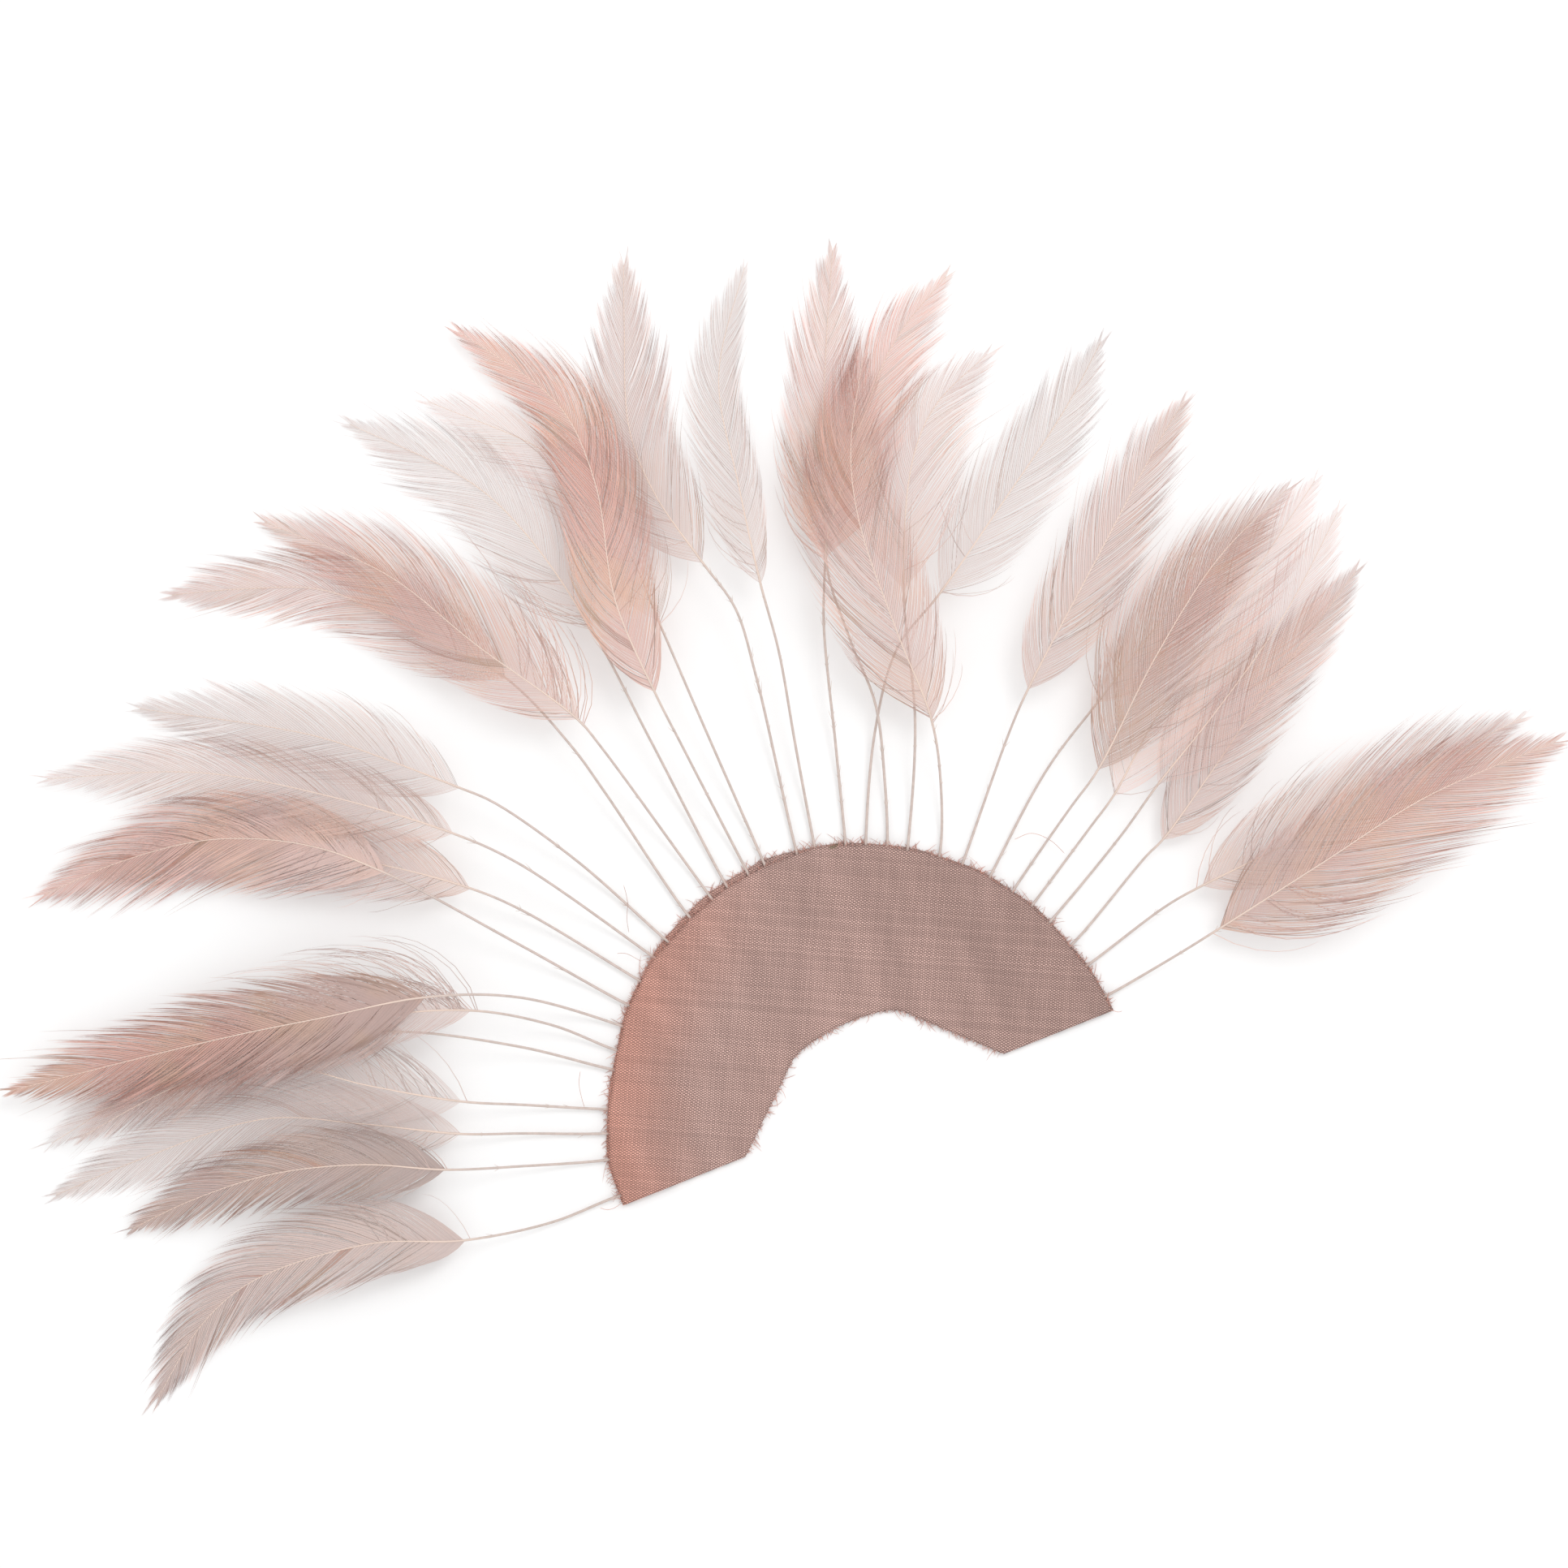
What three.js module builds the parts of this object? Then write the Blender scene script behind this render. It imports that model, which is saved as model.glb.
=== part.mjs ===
// Hackle feather fan: stripped hackle feathers whose quills are held between two half-ring cloths.
// Millimetres, +Z up. The fan lies flat, on its back cloth and its lowest feathers.
// Origin: on the underside of the back cloth, in the middle of its band.
// +X runs along the straight cut ends of the cloths, +Y out through the middle of the fan.
import * as THREE from 'three';

// The two cloths
const PAD_RADIUS = 49; // outer edge of the back cloth
const FRONT_SETBACK = 0.6; // the front cloth's outer edge lies this far inside the back cloth's
const PAD_CENTRE_Y = -33; // centre of the outer edge
const CLOTH_THICKNESS = 0.35;
const FRONT_CLOTH_BASE = 1.35; // underside of the front cloth, above the quills
const CLOTH_ARC_STEPS = 40;

// The notch cut in the cloths, measured from the centre of their outer edge
const NOTCH_LEFT = new THREE.Vector2(-24.8, 0);
const NOTCH_LEFT_SHOULDER = new THREE.Vector2(-10.5, 13);
const NOTCH_RIGHT_SHOULDER = new THREE.Vector2(12.5, 14);
const NOTCH_RIGHT = new THREE.Vector2(26.7, 0);
const NOTCH_ROUNDING = 5; // how far each straight cut carries on into the rounded top

// The feathers' shafts
const QUILL_TUCK = 10; // length of quill held between the cloths
const QUILL_HEIGHT = 0.85; // middle of the quills between the cloths
const QUILL_RADIUS = 0.32; // at the cut end
const VANE_BASE_RADIUS = 0.28; // where the stripped stem ends
const TIP_RADIUS = 0.1;

// How the feathers lie: each layer clears the one below, and all of them arch up and come down again
const LOW_HEIGHT = 0.35; // middle of the shafts that lie on the surface
const LAYER_RISE = 1.2;
const LAYER_REACH = 71; // distance from the cloths' centre where the layers are fully apart
const ARCH_HEIGHT = 6;
const ARCH_START = 52;
const ARCH_END = 142;

// A vane's half width along its length, as a share of its widest
const WIDEST_AT = 0.34;
const BASE_FULLNESS = 0.6; // below 1 the base is rounded
const TIP_FULLNESS = 2.6; // above 1 the width is kept up towards the tip

// Where a feather's sections stand, as shares of the stem and of the vane
const STEM_SECTIONS = [0, 0.2, 0.4, 0.6, 0.8, 1];
const VANE_SECTIONS = [0.03, 0.08, 0.16, 0.28, 0.42, 0.56, 0.7, 0.83, 0.93, 1];
const SECTION_SIDES = 6;
const SIDES_FROM_EDGE = [1, 4]; // the sides that start at an edge of the vane and run back to the shaft
const SPAN_STEPS = 40; // steps between two points of a shaft when its length is measured

const CLOTH_COLOUR = 0xb28c82;
const FEATHER_COLOUR = 0xd8bcb4;
const CLOTH_ROUGHNESS = 0.9;
const FEATHER_ROUGHNESS = 0.6;

// Each feather, from the left end of the fan to the right.
// stem: the bare shaft from the cloths' edge to the first barbs, and vane: from there to the tip.
// web: the widest half widths left and right of the shaft, looking from the cloths to the tip.
// layer: how many feathers' depths it lies above the surface.
const FEATHERS = [
  { stem: [[-50.5, -31], [-62.5, -31], [-78.5, -28]],
    vane: [[-95, -22], [-117.5, -20.5], [-129.5, -24.5], [-144, -35.5]], web: [6.5, 8.5], layer: 0 },
  { stem: [[-49, -24], [-64.5, -19], [-77, -14.5]],
    vane: [[-90.5, -8], [-106.5, -3.5], [-122.5, -2.5], [-137, -3.5]], web: [6.5, 6.5], layer: 1 },
  { stem: [[-47, -19.5], [-62, -13.5], [-72, -9.5]],
    vane: [[-88, -1], [-104.5, 6.5], [-130.5, 8], [-148.5, 7.5]], web: [7, 7], layer: 0 },
  { stem: [[-45, -15.5], [-60, -8.5], [-69.5, -4]],
    vane: [[-84, 5], [-100.5, 16], [-123.5, 19.5], [-145.5, 16.5]], web: [8, 9], layer: 1 },
  { stem: [[-41.5, -9], [-56, 1.5], [-74.5, 12]],
    vane: [[-89, 16.5], [-107, 19.5], [-135, 19]], web: [6.5, 5], layer: 2 },
  { stem: [[-39.5, -6], [-49, 3], [-61.5, 11]],
    vane: [[-80.5, 17], [-99.5, 18.5], [-120.5, 18], [-140, 15.5]], web: [6.5, 8], layer: 3 },
  { stem: [[-36.5, -2.5], [-52.5, 10], [-68.5, 16.5]],
    vane: [[-87.5, 20], [-104.5, 23], [-148.5, 29]], web: [8, 8.5], layer: 4 },
  { stem: [[-34, 0.5], [-49, 19], [-67, 40.5]],
    vane: [[-78.5, 50.5], [-94.5, 58], [-111.5, 60.5], [-129.5, 60]], web: [9.5, 8], layer: 1 },
  { stem: [[-30.5, 4], [-46.5, 25], [-53.5, 32]],
    vane: [[-68.5, 43], [-90, 54.5], [-120, 60.5]], web: [7, 7], layer: 0 },
  { stem: [[-26.5, 7], [-43.5, 33], [-52.5, 42.5]],
    vane: [[-71.5, 57.5], [-92.5, 70.5], [-121, 80.5]], web: [7, 7], layer: 2 },
  { stem: [[-23.5, 9.5], [-33.5, 29.5], [-43.5, 45], [-48.5, 50]],
    vane: [[-67.5, 67], [-78, 74], [-100, 86.5]], web: [7, 8], layer: 0 },
  { stem: [[-18, 12], [-24, 39.5], [-26.5, 49.5], [-33, 65.5]],
    vane: [[-42.5, 76.5], [-58, 93], [-72, 99], [-87, 103.5]], web: [7, 8.5], layer: 0 },
  { stem: [[-13, 14], [-21.5, 47.5], [-23.5, 53.5]],
    vane: [[-36, 73.5], [-46.5, 91.5], [-65.5, 110.5]], web: [8, 10], layer: 1 },
  { stem: [[-9.5, 15], [-12.5, 44.5], [-15, 68]],
    vane: [[-20, 89.5], [-26, 102], [-44, 121.5]], web: [9, 9], layer: 0 },
  { stem: [[-5, 16], [-7.5, 42], [-8.5, 53]],
    vane: [[-9, 71.5], [-4.5, 93], [-5.5, 109], [-19, 130.5]], web: [7, 8], layer: 2 },
  { stem: [[-1.5, 16.5], [-2.5, 46.5], [-3, 65]],
    vane: [[-3.5, 79.5], [-9, 99], [-29, 120]], web: [7.5, 7.5], layer: 1 },
  { stem: [[5, 17], [10, 49.5], [11, 62], [8.5, 72]],
    vane: [[5, 87], [5, 100], [11.5, 119], [16, 130.5]], web: [8, 8], layer: 0 },
  { stem: [[8.5, 16.5], [12, 34.5], [15.5, 51.5], [17, 64.5]],
    vane: [[20, 83], [24, 103], [37, 121.5]], web: [6.5, 4], layer: 1 },
  { stem: [[14, 14.5], [19, 32], [25, 53], [30, 65]],
    vane: [[36.5, 82.5], [46, 104], [53, 118.5]], web: [7.5, 6.5], layer: 0 },
  { stem: [[17.5, 13], [27, 32], [36, 44], [47, 50.5]],
    vane: [[65, 62.5], [81, 73.5], [93.5, 84]], web: [8, 8], layer: 0 },
  { stem: [[21, 11], [25, 22.5], [28.5, 36], [28.5, 48.5], [30, 64.5]],
    vane: [[38, 76], [56, 96.5], [71.5, 105.5]], web: [8, 8], layer: 1 },
  { stem: [[24.5, 9.5], [34, 30], [41, 53.5]],
    vane: [[51, 74.5], [59, 83], [73, 89]], web: [8, 9], layer: 2 },
  { stem: [[29.5, 6], [34.5, 18.5], [37, 29.5]],
    vane: [[37, 46], [38, 68], [41.5, 81], [51, 98]], web: [10.5, 8.5], layer: 3 },
  { stem: [[33, 3], [50, 22.5], [55.5, 28]],
    vane: [[76.5, 46], [97.5, 63.5], [104, 68]], web: [7, 7.5], layer: 1 },
  { stem: [[36.5, -1.5], [53.5, 13], [66.5, 21]],
    vane: [[87.5, 33], [108.5, 41]], web: [9.5, 7.5], layer: 0 },
  { stem: [[39.5, -5.5], [55, 5], [62, 9.5]],
    vane: [[79.5, 25], [97, 37.5], [115.5, 45.5]], web: [8, 8], layer: 3 },
  { stem: [[41.5, -9.5], [57.5, 0.5], [63, 4]],
    vane: [[76, 15], [92, 25.5], [121, 45.5]], web: [8, 8], layer: 2 },
  { stem: [[43.5, -13.5], [61.5, -3.5], [71.5, 3]],
    vane: [[87, 12], [105.5, 24], [122.5, 38.5]], web: [7.5, 7.5], layer: 1 },
  { stem: [[45.5, -19], [65, -8.5], [68.5, -7]],
    vane: [[81.5, 1.5], [92.5, 9], [122, 27]], web: [7, 6.5], layer: 0 },
  { stem: [[47, -23.5], [65, -18.5], [72, -17.5]],
    vane: [[89, -16], [112.5, -13], [140.5, -10.5]], web: [9, 6.5], layer: 1 },
  { stem: [[48.5, -30], [61.5, -28], [72, -26]],
    vane: [[94.5, -21.5], [116.5, -17.5], [145, -17]], web: [9, 11.5], layer: 2 },
];

// A half ring with two straight cut ends and a notch of two straight cuts and a rounded top
function clothOutline(radius) {
  const leftCut = NOTCH_LEFT_SHOULDER.clone().sub(NOTCH_LEFT).setLength(NOTCH_ROUNDING);
  const rightCut = NOTCH_RIGHT_SHOULDER.clone().sub(NOTCH_RIGHT).setLength(NOTCH_ROUNDING);
  const leftPull = NOTCH_LEFT_SHOULDER.clone().add(leftCut);
  const rightPull = NOTCH_RIGHT_SHOULDER.clone().add(rightCut);
  const outline = new THREE.Shape();
  outline.moveTo(radius, 0);
  outline.absarc(0, 0, radius, 0, Math.PI, false);
  outline.lineTo(NOTCH_LEFT.x, NOTCH_LEFT.y);
  outline.lineTo(NOTCH_LEFT_SHOULDER.x, NOTCH_LEFT_SHOULDER.y);
  outline.bezierCurveTo(
    leftPull.x, leftPull.y, rightPull.x, rightPull.y, NOTCH_RIGHT_SHOULDER.x, NOTCH_RIGHT_SHOULDER.y);
  outline.lineTo(NOTCH_RIGHT.x, NOTCH_RIGHT.y);
  return outline;
}

function makeCloth(name, radius, underside) {
  const geometry = new THREE.ExtrudeGeometry(clothOutline(radius), {
    depth: CLOTH_THICKNESS,
    bevelEnabled: false,
    curveSegments: CLOTH_ARC_STEPS,
  });
  const material = new THREE.MeshStandardMaterial({
    color: CLOTH_COLOUR, roughness: CLOTH_ROUGHNESS, metalness: 0,
  });
  const cloth = new THREE.Mesh(geometry, material);
  cloth.name = name;
  cloth.position.set(0, PAD_CENTRE_Y, underside);
  return cloth;
}

// The shaft's line in plan, with the length of quill that is tucked between the cloths
function shaftLine({ stem, vane }) {
  const points = [...stem, ...vane].map(([x, y]) => new THREE.Vector3(x, y, 0));
  const padCentre = new THREE.Vector3(0, PAD_CENTRE_Y, 0);
  const tuck = padCentre.clone().sub(points[0]).setLength(QUILL_TUCK);
  const quillEnd = points[0].clone().add(tuck);
  return new THREE.CatmullRomCurve3([quillEnd, ...points]);
}

// The height of a layer's middle over a point of the plan
function layerHeight(x, y, layer) {
  const reach = Math.hypot(x, y - PAD_CENTRE_Y);
  const apart = THREE.MathUtils.smoothstep(reach, PAD_RADIUS, LAYER_REACH);
  const along = THREE.MathUtils.clamp((reach - ARCH_START) / (ARCH_END - ARCH_START), 0, 1);
  const arch = ARCH_HEIGHT * Math.sin(Math.PI * along) ** 2;
  return THREE.MathUtils.lerp(QUILL_HEIGHT, LOW_HEIGHT + layer * LAYER_RISE, apart) + arch;
}

function webShare(along) {
  if (along < WIDEST_AT) {
    return Math.sin((Math.PI / 2) * (along / WIDEST_AT)) ** BASE_FULLNESS;
  }
  return 1 - ((along - WIDEST_AT) / (1 - WIDEST_AT)) ** TIP_FULLNESS;
}

// The sections of one feather, from the cut end of its quill to its tip
function featherSections(feather) {
  const line = shaftLine(feather);
  const spans = line.points.length - 1;
  const lengths = line.getLengths(spans * SPAN_STEPS);
  const stemLength = lengths[feather.stem.length * SPAN_STEPS];
  const fullLength = lengths[lengths.length - 1];
  const section = (distance, radius, share) => {
    const at = Math.min(distance / fullLength, 1);
    const middle = line.getPointAt(at);
    const ahead = line.getTangentAt(at);
    const left = new THREE.Vector3(-ahead.y, ahead.x, 0);
    return { middle, left, radius, reach: feather.web.map((web) => Math.max(web * share, radius)) };
  };
  const stem = STEM_SECTIONS.map((share) => {
    const radius = THREE.MathUtils.lerp(QUILL_RADIUS, VANE_BASE_RADIUS, share);
    return section(stemLength * share, radius, 0);
  });
  const vane = VANE_SECTIONS.map((share) => {
    const radius = THREE.MathUtils.lerp(VANE_BASE_RADIUS, TIP_RADIUS, share);
    return section(THREE.MathUtils.lerp(stemLength, fullLength, share), radius, webShare(share));
  });
  return [...stem, ...vane];
}

// Splits the faces above and below a vane's edge along the same diagonal, so that a twist can't cross them
function matchDiagonals(geometry, steps) {
  const { index } = geometry;
  for (const side of SIDES_FROM_EDGE) {
    for (let step = 0; step < steps; step += 1) {
      const first = (side * steps + step) * 6;
      const [a, b, d, , c] = Array.from(index.array.slice(first, first + 6));
      [a, b, c, a, c, d].forEach((corner, i) => index.setX(first + i, corner));
    }
  }
}

// A closed six-sided tube through the sections: two sides stretch out to the edges of the vane
function makeFeather(feather, index) {
  const sections = featherSections(feather);
  const steps = sections.length - 1;
  const geometry = new THREE.CylinderGeometry(1, 1, 1, SECTION_SIDES, steps, false, Math.PI / SECTION_SIDES);
  matchDiagonals(geometry, steps);
  const corners = geometry.attributes.position;
  for (let i = 0; i < corners.count; i += 1) {
    const { middle, left, radius, reach } = sections[Math.round((0.5 - corners.getY(i)) * steps)];
    const side = corners.getX(i);
    const isEdge = Math.abs(side) > Math.cos(Math.PI / SECTION_SIDES);
    const offset = isEdge ? Math.sign(side) * reach[side > 0 ? 0 : 1] : side * radius;
    const x = middle.x + left.x * offset;
    const y = middle.y + left.y * offset;
    corners.setXYZ(i, x, y, layerHeight(x, y, feather.layer) + corners.getZ(i) * radius);
  }
  geometry.computeVertexNormals();
  const material = new THREE.MeshStandardMaterial({
    color: FEATHER_COLOUR, roughness: FEATHER_ROUGHNESS, metalness: 0,
  });
  const mesh = new THREE.Mesh(geometry, material);
  mesh.name = `hackle_${String(index + 1).padStart(2, '0')}`;
  return mesh;
}

const fan = new THREE.Group();
fan.name = 'hackle_feather_fan';
fan.add(makeCloth('back_cloth', PAD_RADIUS, 0));
fan.add(makeCloth('front_cloth', PAD_RADIUS - FRONT_SETBACK, FRONT_CLOTH_BASE));
FEATHERS.forEach((feather, index) => fan.add(makeFeather(feather, index)));

export default fan;
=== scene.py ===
import math
from typing import NamedTuple

import bmesh
import bpy
import numpy as np
from bpy.props import FloatProperty, FloatVectorProperty, IntProperty, PointerProperty
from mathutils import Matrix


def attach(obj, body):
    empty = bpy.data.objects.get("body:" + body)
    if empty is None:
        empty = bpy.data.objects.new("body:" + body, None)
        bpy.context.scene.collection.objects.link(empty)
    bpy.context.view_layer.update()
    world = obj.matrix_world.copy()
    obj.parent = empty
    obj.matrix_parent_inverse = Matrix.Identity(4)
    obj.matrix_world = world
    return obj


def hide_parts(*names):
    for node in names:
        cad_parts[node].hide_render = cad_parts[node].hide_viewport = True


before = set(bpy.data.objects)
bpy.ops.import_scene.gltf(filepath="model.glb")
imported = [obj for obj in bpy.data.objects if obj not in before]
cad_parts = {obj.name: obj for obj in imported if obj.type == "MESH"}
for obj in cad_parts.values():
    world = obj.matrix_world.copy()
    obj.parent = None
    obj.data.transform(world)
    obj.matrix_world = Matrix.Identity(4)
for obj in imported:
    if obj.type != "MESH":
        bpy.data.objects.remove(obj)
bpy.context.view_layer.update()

bl_info = {
    "name": "Hackle feather fan",
    "version": (1, 0, 0),
    "blender": (4, 5, 0),
    "location": "3D View > Sidebar > Hackle fan",
    "description": "Builds the cloths, feathers and loose threads of a hackle feather fan",
    "category": "Object",
}

MM = 0.001
BAKE_MAP = "OFBake"

# The cloths, as the solids have them, in metres
PAD_CENTRE = np.array([0, -33]) * MM
PAD_RADIUS = 49 * MM
CLOTH_THICKNESS = 0.35 * MM
NOTCH_LEFT = np.array([-24.8, 0]) * MM
NOTCH_LEFT_SHOULDER = np.array([-10.5, 13]) * MM
NOTCH_RIGHT_SHOULDER = np.array([12.5, 14]) * MM
NOTCH_RIGHT = np.array([26.7, 0]) * MM
NOTCH_ROUNDING = 5 * MM

# How the shafts lie, as the solids have them, in metres
QUILL_TUCK = 10 * MM
QUILL_HEIGHT = 0.85 * MM
QUILL_RADIUS = 0.27 * MM
STEM_RADIUS = 0.22 * MM
VANE_RADIUS = 0.12 * MM
SHAFT_TIP_RADIUS = 0.04 * MM
LOW_HEIGHT = 0.35 * MM
LAYER_RISE = 1.2 * MM
LAYER_REACH = 71 * MM
ARCH_HEIGHT = 6 * MM
ARCH_START = 52 * MM
ARCH_END = 142 * MM
WIDEST_AT = 0.34
BASE_FULLNESS = 0.6
TIP_FULLNESS = 3.2
TIP_SHARE = 0.1  # how much of the vane's width is left at its ragged tip
SPAN_STEPS = 40


class Feather(NamedTuple):
    """A feather, in millimetres: its lines as the solid has them, and how its barbs look."""
    stem: list  # points of the bare stem, from the cloths' edge outwards
    vane: list  # points of the shaft in the vane, up to the tip
    web: tuple  # widest reach of the barbs, left and right of the shaft
    layer: int  # how many feathers deep it lies on others
    tone: float  # from grey film, 0, to deep blush, 1
    cover: float  # share of the vane that its barbs fill
    deep: float = 0  # how much darker its barbs are than most
    wisps: tuple = (0, 0)  # long loose barbs left and right of the vane's base
    sweep: float = 1.3  # how far the wisps reach, in widths of the web on their side
    stubs: int = 2  # ends of stripped barbs along the stem
    curl: tuple = (0.6, 0.6)  # share of its angle that a barb loses by its end, left and right
    streaks: float = 0.1  # share of the small locks that cling tight, as darker streaks
    ragged: tuple = (1, 1)  # how far the barbs' ends part into locks, left and right


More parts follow.
